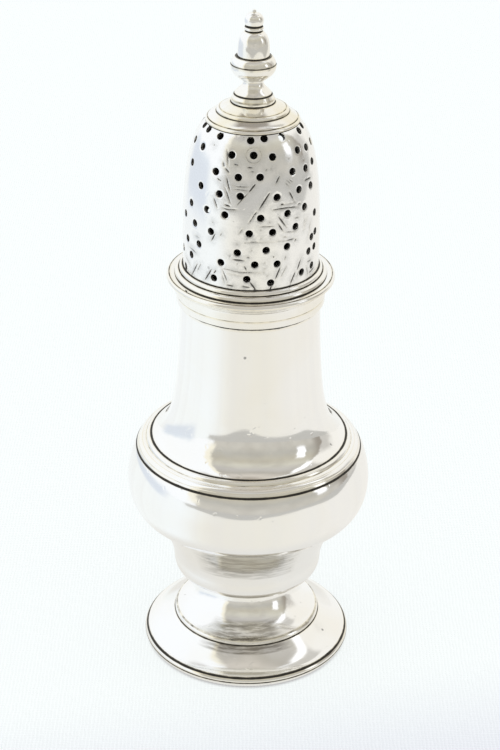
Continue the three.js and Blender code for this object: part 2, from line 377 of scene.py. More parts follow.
def shade_streaks_group():
    tree, inward, outward = new_group(
        "streaks_of_painted_shade", {"Amount": 1.0, "Streaks": 900.0}, {"Mask": "NodeSocketFloat"})
    x, y, z = taken_apart(tree, object_places(tree))
    shade_streaking = put_together(
        tree, maths(tree, "MULTIPLY", turn_from_front(tree, x, y), shade_streak_squeeze),
        maths(tree, "MULTIPLY", z, inward.outputs["Streaks"]),
        maths(tree, "MULTIPLY", span_from_axis(tree, x, y), inward.outputs["Streaks"]))
    drawn_out = noise_at(tree, shade_streaking, shade_streak_scale, detail=3.0, roughness=0.6)
    streaks = ramp(tree, drawn_out, shade_streak_edge, shade_streak_middle)
    spread = streaky(tree, attribute_of_piece(tree, "painted_front_shade"), streaks, shade_streak_share)
    amount = inward.outputs["Amount"]
    tree.links.new(maths(tree, "MULTIPLY", spread, amount, clamp=True), outward.inputs["Mask"])
    return tree


shade_streaks = shade_streaks_group()
print("tarnish group has", len(shade_streaks.nodes), "nodes")


# %% [markdown]
# One function lays the shared effects into a finish: clean silver, tinted by the film, greyed by scuffs,
# browned by painted shade in front, darkened by oxide, with the fine relief as a bump. Metal stays fully
# metallic except under thick oxide.

# %% Colours of the silver
clean_silver = (0.93, 0.925, 0.915, 1)
warm_silver = (0.86, 0.78, 0.58, 1)
scuffed_grey = (0.64, 0.645, 0.64, 1)
# The brown of the painted shade in front, which stands in for dark reflections on the silver.
painted_shade_brown = (0.27, 0.25, 0.215, 1)
oxide_brown = (0.03, 0.026, 0.02, 1)
oxide_roughness = 0.55
scuff_roughness = 0.3
metal_lost_to_oxide = 0.6
relief_depth = 0.2 * mm


def placed(tree, group, **amounts):
    made = add_node(tree, "ShaderNodeGroup", node_tree=group)
    for label, value in amounts.items():
        made.inputs[label.replace("_", " ")].default_value = value
    return made


def blended(tree, mask, first, second):
    """Mixes two colours by a mask. Each colour is a plain value or a socket."""
    made = add_node(tree, "ShaderNodeMix", data_type="RGBA")
    tree.links.new(mask, made.inputs["Factor"])
    for socket, value in ((made.inputs["A"], first), (made.inputs["B"], second)):
        if isinstance(value, tuple):
            socket.default_value = value
        else:
            tree.links.new(value, socket)
    return made.outputs["Result"]


print("clean silver mirrors", round(100 * clean_silver[0]), "per cent of the light, oxide",
      round(100 * oxide_brown[0]), "per cent")


# %% [markdown]
# Film, scuffs and oxide are layered in the order in which they form. Film comes first, then scuffs through
# it, then the streaks of painted shade, and oxide lies over all of them. Roughness grows with the rub of the
# cloth and with the scuffs, and where oxide lies it is never less than that of oxide.

# %% One function for every finish
def silver(name, roughness, rub, lines, wave, pits, film_everywhere, film_near, oxide_amount, breaks, specks):
    """A silver finish: its roughness, how much the rub adds, the relief amounts, the film and the oxide."""
    material = bpy.data.materials.new(name)
    material.use_nodes = True
    tree = material.node_tree
    shader = tree.nodes["Principled BSDF"]
    relief = placed(tree, surface, Lines=lines, Wave=wave, Pits=pits)
    warm = placed(tree, film, Everywhere=film_everywhere, In_recesses=film_near)
    dark = placed(tree, oxide, Amount=oxide_amount, Breaks=breaks, Specks=specks)
    worn = placed(tree, scuff, Amount=1.0, Grain=breaks)
    shade_streaking = placed(tree, shade_streaks, Amount=1.0)
    tinted = blended(tree, warm.outputs["Mask"], clean_silver, warm_silver)
    greyed = blended(tree, worn.outputs["Mask"], tinted, scuffed_grey)
    # Painted shade: brown streaks that stand in for dark reflections on the front of the silver.
    shaded_in_front = blended(tree, shade_streaking.outputs["Mask"], greyed, painted_shade_brown)
    colour = blended(tree, dark.outputs["Mask"], shaded_in_front, oxide_brown)
    tree.links.new(colour, shader.inputs["Base Color"])
    polished = maths(tree, "MULTIPLY_ADD", relief.outputs["Rub"], rub, roughness)
    scratched = maths(tree, "MULTIPLY_ADD", worn.outputs["Mask"], scuff_roughness, polished)
    dull = maths(tree, "MULTIPLY", dark.outputs["Mask"], oxide_roughness)
    tree.links.new(maths(tree, "MAXIMUM", scratched, dull), shader.inputs["Roughness"])
    metal = maths(tree, "MULTIPLY_ADD", dark.outputs["Mask"], -metal_lost_to_oxide, 1.0)
    tree.links.new(metal, shader.inputs["Metallic"])
    bump = add_node(tree, "ShaderNodeBump")
    bump.inputs["Distance"].default_value = relief_depth
    tree.links.new(relief.outputs["Height"], bump.inputs["Height"])
    tree.links.new(bump.outputs["Normal"], shader.inputs["Normal"])
    return material


print("layers:", ", ".join(group.name for group in bpy.data.node_groups))


# %% [markdown]
# Seven finishes come out of it. Raised sheet is smoothest, the foot and bowl carry the most polish lines,
# wire is bright with little relief, the dome is duller from its drilling and chasing, the crown has kept the
# most of the warm film, the knob shows the skin of its casting, and the sleeve was never polished.

# %% The seven finishes
sheet_finish = silver(
    "raised_sheet", roughness=0.06, rub=0.05, lines=1.6, wave=1.0, pits=1.6,
    film_everywhere=0.12, film_near=0.5, oxide_amount=1.0, breaks=700.0, specks=0.6)
foot_finish = silver(
    "foot_and_bowl_sheet", roughness=0.08, rub=0.06, lines=8.0, wave=1.6, pits=1.6,
    film_everywhere=0.16, film_near=0.7, oxide_amount=1.0, breaks=700.0, specks=0.6)
wire_finish = silver(
    "drawn_wire", roughness=0.07, rub=0.05, lines=1.2, wave=0.3, pits=0.4,
    film_everywhere=0.3, film_near=0.8, oxide_amount=1.0, breaks=600.0, specks=0.2)
dome_finish = silver(
    "pierced_and_chased_sheet", roughness=0.11, rub=0.08, lines=0.9, wave=1.0, pits=1.4,
    film_everywhere=0.05, film_near=0.3, oxide_amount=0.95, breaks=900.0, specks=0.8)
crown_finish = silver(
    "turned_crown", roughness=0.09, rub=0.06, lines=1.2, wave=0.5, pits=0.6,
    film_everywhere=0.75, film_near=1.0, oxide_amount=1.0, breaks=700.0, specks=0.2)
cast_finish = silver(
    "cast_knob", roughness=0.09, rub=0.06, lines=3.0, wave=1.4, pits=1.6,
    film_everywhere=0.3, film_near=0.8, oxide_amount=1.0, breaks=700.0, specks=0.3)
sleeve_finish = silver(
    "rubbed_sleeve", roughness=0.22, rub=0.12, lines=3.0, wave=0.3, pits=1.0,
    film_everywhere=0.35, film_near=0.6, oxide_amount=0.8, breaks=500.0, specks=0.3)
print("finishes:", ", ".join(material.name for material in bpy.data.materials))


# %% [markdown]
# Nearly every piece here is a body of revolution, so one class draws half a section and turns it. It goes
# from place to place as a lathe hand would call them out: a straight line, a sweep with two handles, a bead.
# A corner carries how much dirt it holds and how far its edge is worn round. Dirt reaches a little way from
# its corner and fades, so places are added close beside it. The corners are bevelled while the section is
# still a wire. Then it is spun a full turn and its doubles are merged, so the piece is one closed skin.

# %% Outline of a turned piece
line_step = 0.45 * mm
round_segments = 4
merge_distance = 0.001 * mm
dirt_reach = 0.2 * mm
dirt_step = 0.13 * mm
dirt_fade_near = 0.2
dirt_fade_far = 0.7
bevel_room = 1.05
reed_depth = 0.06 * mm
seat_margin = 0.1 * mm
inner_stride = 3
full_turn = 2 * math.pi

hair_edge = 0.05 * mm
fine_edge = 0.06 * mm
light_edge = 0.08 * mm
worn_edge = 0.1 * mm
soft_edge = 0.12 * mm
round_edge = 0.15 * mm


def inset(outside, index, wall):
    """The place on the inside of a sheet that lies a wall away from a place on its outside."""
    along = (outside[index + 1] - outside[index - 1]).normalized()
    return outside[index] + Vector((-along.y, along.x)) * wall


class Outline:
    """Half the section of a turned piece: places as (radius, height), each with its dirt and worn edge."""

    def __init__(self, radius, height, dirt=0.0, soft=0.0):
        self.places = []
        self.put(Vector((radius, height)), dirt, soft)

    def put(self, place, dirt=0.0, soft=0.0):
        self.places.append((place, dirt, soft))

    @property
    def end(self):
        return self.places[-1][0]

    def line(self, radius, height, dirt=0.0, soft=0.0):
        start, goal = self.end, Vector((radius, height))
        steps = max(1, round((goal - start).length / line_step))
        for step in range(1, steps):
            self.put(start.lerp(goal, step / steps))
        self.put(goal, dirt, soft)

    def sweep(self, radius, height, handle_shares, steps=48, dirt=0.0, soft=0.0):
        start, goal = self.end, Vector((radius, height))
        first, second = (start + (goal - start) * Vector(share) for share in handle_shares)
        for place in geometry.interpolate_bezier(start, first, second, goal, steps + 1)[1:-1]:
            self.put(place)
        self.put(goal, dirt, soft)

    def bead(self, radius, height, bulge, steps=14, dirt=0.0, soft=0.0, reeds=()):
        """A round bead. Each reed is a step number and its dirt: a fine groove cut round the bead there."""
        start, goal = self.end, Vector((radius, height))
        side = Vector((goal.y - start.y, start.x - goal.x)).normalized()
        grooves = dict(reeds)
        for step in range(1, steps):
            along = step / steps
            rise = bulge * math.sin(math.pi * along) - (reed_depth if step in grooves else 0)
            self.put(start.lerp(goal, along) + side * rise, grooves.get(step, 0.0))
        self.put(goal, dirt, soft)

    def dirt_at(self, place):
        """How much dirt a place gets from the corners near it."""
        most = 0.0
        for corner, dirt, soft in self.places:
            if dirt:
                away = (place - corner).length / (dirt_reach * dirt)
                near = 1 - dirt_fade_near * away
                far = 1 - dirt_fade_near + dirt_fade_far - dirt_fade_far * away
                most = max(most, dirt * (near if away < 1 else far))
        return most

    def with_dirt_spread(self, closed):
        """The places again, set closer together beside each dirty corner, with its dirt fading out."""
        spread = []
        goals = self.places[1:] + self.places[:1]
        for index, ((place, dirt, soft), (goal, _, _)) in enumerate(zip(self.places, goals)):
            spread.append((place, max(dirt, self.dirt_at(place)), soft))
            if index == len(self.places) - 1 and not closed:
                break
            steps = math.ceil((goal - place).length / dirt_step)
            for step in range(1, steps):
                between_them = place.lerp(goal, step / steps)
                left = self.dirt_at(between_them)
                if left > 0:
                    spread.append((between_them, left, 0.0))
        return spread

    def sheet(self, wall, lower_seat, upper_seat):
        """Adds the inside of a sheet: the outline again, in by the wall, between two flat seats."""
        outside = [place for place, dirt, soft in self.places]
        corners = [place for place, dirt, soft in self.places if soft]
        low, high = outside[0], outside[-1]
        inside = []
        for index in range(inner_stride, len(outside) - 1, inner_stride):
            if all((outside[index] - corner).length > wall / 2 for corner in corners):
                inside.append(inset(outside, index, wall))
        self.line(high.x - upper_seat, high.y, soft=worn_edge)
        for place in reversed(inside):
            if low.y + seat_margin < place.y < high.y - seat_margin:
                self.put(place)
        self.put(Vector((low.x - lower_seat, low.y)), soft=worn_edge)

    def turned(self, sides, closed=True):
        """Spins the outline into a closed skin. A closed outline is a ring; an open one ends on the axis."""
        worn = [(place, soft) for place, dirt, soft in self.places if soft]
        kept = [
            (place, dirt, soft) for place, dirt, soft in self.with_dirt_spread(closed)
            if soft or all((place - corner).length > reach * bevel_room for corner, reach in worn)
        ]
        shape = bmesh.new()
        dirt_layer = shape.verts.layers.float.new("dirt")
        verts = []
        for place, dirt, soft in kept:
            vert = shape.verts.new((place.x, 0, place.y))
            vert[dirt_layer] = dirt
            verts.append(vert)
        for first, second in zip(verts, verts[1:] + (verts[:1] if closed else [])):
            shape.edges.new((first, second))
        for vert, (place, dirt, soft) in zip(verts, kept):
            if soft:
                bmesh.ops.bevel(
                    shape, geom=[vert], offset=soft, offset_type="OFFSET", segments=round_segments,
                    profile=0.5, material=-1, affect="VERTICES", clamp_overlap=True)
        bmesh.ops.spin(
            shape, geom=shape.verts[:] + shape.edges[:], cent=(0, 0, 0), axis=(0, 0, 1),
            angle=full_turn, steps=sides, use_merge=True)
        bmesh.ops.remove_doubles(shape, verts=shape.verts, dist=merge_distance)
        bmesh.ops.recalc_face_normals(shape, faces=shape.faces)
        return shape


print("edges are worn round by", round(hair_edge / mm, 2), "to", round(round_edge / mm, 2), "mm")


# %% [markdown]
# A finished piece gets its mesh and its finish, is hung on the body that carries it, and hides the CAD piece
# that it stands for.

# %% Finishing a piece
crease = math.radians(38)


def finished(name, shape, finish, node, body):
    mesh = bpy.data.meshes.new(name)
    shape.to_mesh(mesh)
    shape.free()
    mesh.shade_smooth()
    mesh.set_sharp_from_angle(angle=crease)
    mesh.materials.append(finish)
    piece = bpy.data.objects.new(name, mesh)
    bpy.context.scene.collection.objects.link(piece)
    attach(piece, body)
    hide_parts(node)
    mesh.calc_loop_triangles()
    print(name, "has", len(mesh.loop_triangles), "triangles")
    return piece


print("faces that meet at more than", round(math.degrees(crease)), "degrees show a sharp edge")


# %% [markdown]
# Painted shade lies in front only, where the silver turns inwards: a brown darkening that stands in for the
# dark reflections and the shade round the foot and under the bowl, as a band of radii that fades out to both
# sides.

# %% Painted shade in front
front_shade_half_width = math.radians(38)
front_shade_fade_across = 3
front_shade_fade_round = 2.5


def with_painted_front_shade(shape, inner, outer, lowest, strength):
    """Writes painted shade on the outer skin between two radii, above a height, fading out away from the
    front.
    """
    front_shade_layer = shape.verts.layers.float.new("painted_front_shade")
    middle, reach = (inner + outer) / 2, (outer - inner) / 2
    for vert in shape.verts:
        across = abs(vert.co.xy.length - middle) / reach
        turn = abs(math.atan2(vert.co.x, -vert.co.y)) / front_shade_half_width
        if across < 1 and turn < 1 and vert.co.z > lowest:
            faded_across = min(1, front_shade_fade_across * (1 - across))
            vert[front_shade_layer] = strength * faded_across * min(1, front_shade_fade_round * (1 - turn))
    return shape


print("painted_shade_marks reach", round(math.degrees(front_shade_half_width)), "degrees to both sides of the front")


# %% [markdown]
# The foot starts with a ring of heavy wire that takes the wear of a table. On the real caster it is a strip
# drawn through a shaped hole, bent round and soldered under the tread. It is round outside and tucks in to a
# narrow sole, so a thin shadow lies under it. Above the round runs a fine groove.

# %% Foot moulding
body_sides = 160
foot_top = top_of("foot_rim_wire")
foot_radius = radius_of("foot_rim_wire")
foot_seam_radius = foot_radius - 0.9 * mm
foot_bore = foot_seam_radius - 2.2 * mm
sole_radius = foot_radius - 1.6 * mm
foot_groove = (foot_radius - 0.12 * mm, 1.75 * mm)
foot_shoulder = (foot_radius - 0.68 * mm, 2.82 * mm)

foot = Outline(sole_radius, 0, soft=worn_edge)
foot.bead(*foot_groove, bulge=0.3 * mm, dirt=0.75, soft=hair_edge)
foot.bead(*foot_shoulder, bulge=0.12 * mm, steps=6, dirt=1.0)
foot.line(foot_seam_radius, foot_top, dirt=0.5, soft=fine_edge)
foot.line(foot_bore, foot_top)
foot.line(foot_bore, 0, soft=worn_edge)
finished("foot_moulding", foot.turned(body_sides), wire_finish, "foot_rim_wire", "body")

# %% [markdown]
# The tread is a shallow dish that rises in a reverse curve to a small upright step. It was raised from a disc
# with the stem, so here the two meet at a seam under the step.

# %% Foot dish
tread_top = top_of("foot_tread")
step_radius = radius_of("foot_stem")
step_height = 0.6 * mm
seam_width = 1.3 * mm
tread_handles = [(0.3, 0.1), (0.75, 0.7)]

tread = Outline(foot_seam_radius, foot_top, dirt=0.3, soft=light_edge)
tread.sweep(step_radius, tread_top - step_height, tread_handles, dirt=0.8, soft=soft_edge)
tread.line(step_radius, tread_top, soft=worn_edge)
tread.sheet(body_wall, foot_seam_radius - foot_bore, seam_width)
# Painted shade in front, on the dish beside the step.
dish = with_painted_front_shade(
    tread.turned(body_sides), inner=step_radius - 0.2 * mm, outer=step_radius + 1.9 * mm,
    lowest=foot_top + 2 * mm, strength=0.9)
finished("foot_dish", dish, foot_finish, "foot_tread", "body")

# %% [markdown]
# The stem is a trumpet raised from the same sheet. It narrows to a waist, where the bowl is soldered on, and
# dark oxide stays in that angle.

# %% Foot trumpet
waist_height = top_of("foot_stem")
waist_radius = 9.9 * mm
ledge_radius = step_radius - 0.4 * mm
ledge_height = tread_top + 0.6 * mm
ledge_bend = 0.2 * mm
stem_handles = [(0.4, 0.08), (1, 0.45)]

trumpet = Outline(step_radius, tread_top, soft=worn_edge)
trumpet.line(ledge_radius, ledge_height, dirt=0.45, soft=ledge_bend)
trumpet.sweep(waist_radius, waist_height, stem_handles, dirt=0.8, soft=worn_edge)
trumpet.sheet(body_wall, seam_width, seam_width)
# Painted shade in front, on the trumpet under the bowl.
horn = with_painted_front_shade(
    trumpet.turned(body_sides), inner=waist_radius + 2.6 * mm, outer=step_radius + 0.2 * mm,
    lowest=tread_top + 0.5 * mm, strength=0.8)
finished("foot_trumpet", horn, foot_finish, "foot_stem", "body")

# %% [markdown]
# The lower bowl closes the bottom of the caster. It opens out of the waist almost level, stands up as a round
# cup, and flares out again to meet the belly, which hides the seam. Silver that flares like this looks down
# on the foot, so it shows the foot's own rings a second time. Its floor is flat, so this outline ends on the
# axis instead of closing on itself.

# %% Bowl shell
bowl_top = top_of("lower_bowl")
belly_foot_radius = radius_of("lower_bowl")
cup_radius = 17.85 * mm
cup_height = waist_height + 7.2 * mm
floor_height = waist_height + body_wall
floor_radius = waist_radius - body_wall
floor_clearance = 0.2 * mm
outer_bend = 0.25 * mm
inner_bend = 0.3 * mm
cup_handles = [(0.94, 0.35), (0.98, 0.51)]
flare_handles = [(0.01, 0.28), (0.525, 0.65)]

bowl = Outline(0, waist_height)
bowl.line(waist_radius, waist_height, dirt=0.8, soft=worn_edge)
bowl.line(waist_radius + 0.4 * mm, floor_height, dirt=0.3, soft=outer_bend)
bowl.sweep(cup_radius, cup_height, cup_handles)
bowl.sweep(belly_foot_radius, bowl_top, flare_handles, dirt=0.9, soft=light_edge)
bowl_outside = [place for place, dirt, soft in bowl.places]
bowl.line(belly_foot_radius - seam_width, bowl_top, soft=worn_edge)
for index in range(len(bowl_outside) - 1 - inner_stride, 0, -inner_stride):
    inner_place = inset(bowl_outside, index, body_wall)
    if inner_place.x > floor_radius and inner_place.y > floor_height + floor_clearance:
        bowl.put(inner_place)
bowl.line(floor_radius, floor_height, soft=inner_bend)
bowl.line(0, floor_height)
# Painted shade in front, on the flare that mirrors the foot.
cup = with_painted_front_shade(
    bowl.turned(body_sides, closed=False), inner=cup_radius, outer=belly_foot_radius - 0.4 * mm,
    lowest=cup_height + 3 * mm, strength=0.5)
finished("bowl_shell", cup, foot_finish, "lower_bowl", "body")

# %% [markdown]
# The belly is the widest piece: one sheet worked out over a stake below and drawn in again at the shoulder.

# %% Belly shell
shoulder_height = top_of("belly")
belly_radius = radius_of("belly")
widest_height = bowl_top + 9.5 * mm
shoulder_radius = belly_radius - 2.2 * mm
swell_handles = [(0.68, 0.13), (1, 0.43)]
shoulder_handles = [(0, 0.34), (0.475, 0.83)]

belly = Outline(belly_foot_radius, bowl_top, dirt=0.9, soft=light_edge)
belly.sweep(belly_radius, widest_height, swell_handles, steps=60)
belly.sweep(shoulder_radius, shoulder_height, shoulder_handles, dirt=1.0, soft=fine_edge)
belly.sheet(body_wall, seam_width, seam_width)
finished("belly_shell", belly.turned(body_sides), sheet_finish, "belly", "body")

# %% [markdown]
# A reeded wire hides the joint between belly and neck. It is a broad flat bead, cut by two fine reeds, with a
# thin one above it, and the seams beside them hold the darkest lines on the whole body.

# %% Girdle moulding
girdle_top = top_of("girdle_wire")
neck_foot_radius = radius_of("neck")
girdle_groove_radius = neck_foot_radius + 1.2 * mm
girdle_groove_height = girdle_top - 0.9 * mm
girdle_reeds = [(7, 0.35), (17, 0.3)]

girdle = Outline(shoulder_radius, shoulder_height, dirt=1.0, soft=hair_edge)
girdle.bead(girdle_groove_radius, girdle_groove_height, bulge=0.45 * mm, steps=24, dirt=0.4,
            soft=worn_edge, reeds=girdle_reeds)
girdle.bead(neck_foot_radius, girdle_top, bulge=0.3 * mm, dirt=1.0, soft=hair_edge)
girdle.line(neck_foot_radius - seam_width, girdle_top)
girdle.line(shoulder_radius - seam_width, shoulder_height)
finished("girdle_moulding", girdle.turned(body_sides), wire_finish, "girdle_wire", "body")

# %% [markdown]
# The neck sweeps in from the girdle and rises almost straight to the mouth.

# %% Neck shell
neck_top = top_of("neck")
neck_radius = 16 * mm
neck_handles = [(0.74, 0.08), (0.9, 0.28)]

neck = Outline(neck_foot_radius, girdle_top, dirt=1.0, soft=hair_edge)
neck.sweep(neck_radius, neck_top, neck_handles, steps=90, dirt=0.8, soft=hair_edge)
neck.sheet(body_wall, seam_width, body_wall)
finished("neck_shell", neck.turned(body_sides), sheet_finish, "neck", "body")

# %% [markdown]
# The mouth is bound by a moulded wire: a plain band, then a flare to a rounded lip. Inside it is bored true,
# because the sleeve of the cover slides in it.

# %% Mouth moulding
mouth_top = top_of("mouth_rim")
mouth_bore = neck_radius - body_wall
band_radius = neck_radius + 1 * mm
lip_radius = neck_radius + 3.2 * mm
lip_height = mouth_top - 0.9 * mm
lip_handles = [(0.05, 0.5), (0.8, 0.75)]
band_bottom = neck_top + 0.6 * mm
band_top = neck_top + 2.3 * mm
flare_radius = band_radius + 0.15 * mm
flare_bottom = neck_top + 2.6 * mm
flare_bend = neck_top + 3.9 * mm

mouth = Outline(neck_radius, neck_top, dirt=0.9, soft=hair_edge)
mouth.line(band_radius, band_bottom, soft=round_edge)
mouth.line(band_radius, band_top, dirt=0.4, soft=worn_edge)
mouth.line(flare_radius, flare_bottom)
mouth.line(flare_radius, flare_bend)
mouth.sweep(lip_radius, lip_height, lip_handles, steps=28, dirt=0.3, soft=soft_edge)
mouth.bead(lip_radius - 0.6 * mm, mouth_top, bulge=0.2 * mm, dirt=0.6, soft=fine_edge)
mouth.line(mouth_bore, mouth_top, soft=worn_edge)
mouth.line(mouth_bore, neck_top, soft=hair_edge)
finished("mouth_moulding", mouth.turned(body_sides), wire_finish, "mouth_rim", "body")

# %% [markdown]
# The cover is held by a plain tube that slides into the mouth. It was never meant to be seen, so it is left
# dull and scratched.

# %% Sleeve tube
sleeve_radius = radius_of("cover_sleeve")
sleeve_bottom = bottom_of("cover_sleeve")
sleeve_top = top_of("cover_sleeve")
sleeve_bore = sleeve_radius - cover_wall
cover_sides = 128

sleeve = Outline(sleeve_radius, sleeve_bottom, soft=round_edge)
sleeve.line(sleeve_radius, sleeve_top, dirt=0.6, soft=hair_edge)
sleeve.line(sleeve_bore, sleeve_top, soft=hair_edge)
sleeve.line(sleeve_bore, sleeve_bottom, soft=round_edge)
finished("sleeve_tube", sleeve.turned(cover_sides), sleeve_finish, "cover_sleeve", "cover")

# %% [markdown]
# Where the sleeve meets the dome, two soldered wires cover the seam and rest on the mouth.

# %% Cover moulding
dome_foot_height = top_of("cover_wires")
cover_bottom = bottom_of("cover_wires")
dome_radius = radius_of("pierced_dome")
cover_radius = dome_radius + 2 * mm
cover_groove_radius = dome_radius + 0.9 * mm
lower_wire_share = 0.52
cover_groove_height = cover_bottom + (dome_foot_height - cover_bottom) * lower_wire_share
wire_bulge = 0.35 * mm

wires = Outline(cover_radius, cover_bottom, dirt=1.0, soft=fine_edge)
wires.bead(cover_groove_radius, cover_groove_height, wire_bulge, dirt=0.85, soft=hair_edge)
wires.bead(dome_radius, dome_foot_height, wire_bulge, dirt=1.0, soft=hair_edge)
wires.line(sleeve_bore, dome_foot_height)
wires.line(sleeve_bore, cover_bottom)
finished("cover_moulding", wires.turned(body_sides), wire_finish, "cover_wires", "cover")

# %% [markdown]
# The dome is the show piece: one raised sheet, drilled by eye with about a hundred and twenty-five holes and
# cut with short slanting strokes. Nothing repeats exactly, so the marks seen in the photograph are kept as
# picks in its pixels, and a ray from the camera lands each of them on the silver. The skin is spun from an
# even outline so that its cells are square and small enough to carry the cuts.

# %% Dome skin
dome_top_height = top_of("pierced_dome")
crown_radius = radius_of("crown")
dome_cell = 0.42 * mm
dome_handles = [(-0.04, 0.48), (0.08, 0.87)]

dome_outline = Outline(dome_radius, dome_foot_height)
dome_outline.sweep(crown_radius, dome_top_height, dome_handles, steps=400)
dome_curve = [place for place, dirt, soft in dome_outline.places]
dome_length = sum((after - before).length for before, after in zip(dome_curve, dome_curve[1:]))
dome_rows = round(dome_length / dome_cell)
dome_sides = round(full_turn * dome_radius / dome_cell)


def evenly_along(curve, count):
    """Places at equal distances along a curve of close points."""
    places = [curve[0]]
    walked = 0.0
    gap = sum((after - before).length for before, after in zip(curve, curve[1:])) / count
    for before, after in zip(curve, curve[1:]):
        walked += (after - before).length
        if walked >= gap * len(places) and len(places) < count:
            places.append(after)
    places.append(curve[-1])
    return places


dome = bmesh.new()
dirt_layer = dome.verts.layers.float.new("dirt")
dull_layer = dome.verts.layers.float.new("dull")
dome_verts = [dome.verts.new((place.x, 0, place.y)) for place in evenly_along(dome_curve, dome_rows)]
for first, second in zip(dome_verts, dome_verts[1:]):
    dome.edges.new((first, second))
bmesh.ops.spin(
    dome, geom=dome.verts[:] + dome.edges[:], cent=(0, 0, 0), axis=(0, 0, 1),
    angle=full_turn, steps=dome_sides, use_merge=True)
bmesh.ops.remove_doubles(dome, verts=dome.verts, dist=merge_distance)
bmesh.ops.recalc_face_normals(dome, faces=dome.faces)
outwards = sum(face.normal.xy.dot(face.calc_center_median().xy) for face in dome.faces)
if outwards < 0:
    bmesh.ops.reverse_faces(dome, faces=dome.faces)
print("dome skin:", dome_rows, "rows of", dome_sides, "cells")

# %% [markdown]
# The picks are the middles of the holes in the enlarged photograph, row by row from the
# top. Light from behind shows through two places only, and those are kept apart.

# %% Picks of the holes
hole_pixels = [
    (206, 124.5), (210, 129), (221.5, 136), (252, 140.5), (265.5, 138.5), (283, 137), (300.5, 130.5),
    (303, 125), (196.5, 139), (204, 146.5), (233, 155), (255, 155.5), (274, 157), (299, 150), (307.5, 147),
    (312, 141), (193.5, 162), (217, 171.5), (239.5, 177.5), (261.5, 177.5), (294, 171.5), (307, 168),
    (313.5, 161), (202, 185.5), (220.5, 194), (241.5, 196.5), (278.5, 197.5), (300.5, 189.5), (312, 185),
    (192.5, 202.5), (208, 209.5), (226, 215), (262, 218.5), (289, 213.5), (306, 206.5), (316, 212),
    (187, 213), (196, 223), (212, 231.5), (250.5, 234), (274, 232.5), (297, 226.5), (313, 236.5),
    (316.5, 231), (189, 238), (200, 244), (238.5, 253), (267.5, 250.5), (288.5, 246.5), (310, 251),
    (315.5, 246), (185, 247), (192.5, 254.5), (222, 262.5), (256, 265), (278.5, 264), (313, 265),
    (187, 266), (215, 278), (248, 279.5), (272, 283), (303, 272),
]
see_through_pixels = [(283, 137), (209.5, 210)]
print(len(hole_pixels), "holes are picked")

# %% [markdown]
# A ray from the camera through a pick meets the dome in front, and goes on to meet its far side from within.
# The cover sits a hair to the right of the body's axis in the photograph, so a pick is moved by that much
# before its ray is sent.

# %% Rays onto the dome
cover_shift_pixels = 1.3
skin_tree = BVHTree.FromBMesh(dome)


def ray_through(pixel):
    """Where the ray of a photograph pixel starts, and its direction."""
    across = (pixel[0] - photo_width / 2) / lens_in_pixels
    up = (photo_height / 2 - pixel[1]) / lens_in_pixels
    return camera_place.translation, (camera_place.to_3x3() @ Vector((across, up, -1))).normalized()


def on_the_dome(pixel):
    """The place on the dome and its outward normal under a pixel, or None where the ray misses."""
    start, direction = ray_through((pixel[0] - cover_shift_pixels, pixel[1]))
    place, normal, _, _ = skin_tree.ray_cast(start, direction)
    return None if place is None else (place, normal)


def behind_the_dome(pixel):
    """The same for the far side of the dome, where a ray that entered by a hole leaves again."""
    start, direction = ray_through((pixel[0] - cover_shift_pixels, pixel[1]))
    entry = skin_tree.ray_cast(start, direction)[0]
    place, normal, _, _ = skin_tree.ray_cast(entry + direction * mm, direction)
    return place, normal


print("the first pick lands", round(on_the_dome(hole_pixels[0])[0].z / mm, 1), "mm up")

# %% [markdown]
# The side that the photograph doesn't show gets the same drilling, half a turn round. Each far hole is nudged
# round until it is out of the line of sight of every near one, and two are drilled exactly behind the holes
# that light shows through.

# %% Places to drill
half_turn = Matrix.Rotation(math.pi, 3, "Z")
hole_spacing = 2.3 * mm
clear_of_sight = 1.75 * mm
nudges = [math.radians(degrees) for degrees in (0, 6, -6, 10, -10, 14, -14)]
front_holes = [hit for hit in map(on_the_dome, hole_pixels) if hit]
sight_ends = [behind_the_dome(pixel)[0] for pixel in hole_pixels if on_the_dome(pixel)]
sight_ends = [end for end in sight_ends if end is not None]
drilled = front_holes + [behind_the_dome(pixel) for pixel in see_through_pixels]
for place, normal in front_holes:
    for nudge in nudges:
        turn = Matrix.Rotation(nudge, 3, "Z") @ half_turn
        far_place = turn @ place
        free = all((far_place - other).length > hole_spacing for other, _ in drilled)
        if free and all((far_place - end).length > clear_of_sight for end in sight_ends):
            drilled.append((far_place, turn @ normal))
            break
print(len(drilled), "holes, of", len(hole_pixels), "picked")

# %% [markdown]
# Strokes are picked the same way, as short runs of pixels that start with a strength between 0 and 1. Dots
# are single pecks of the graver.

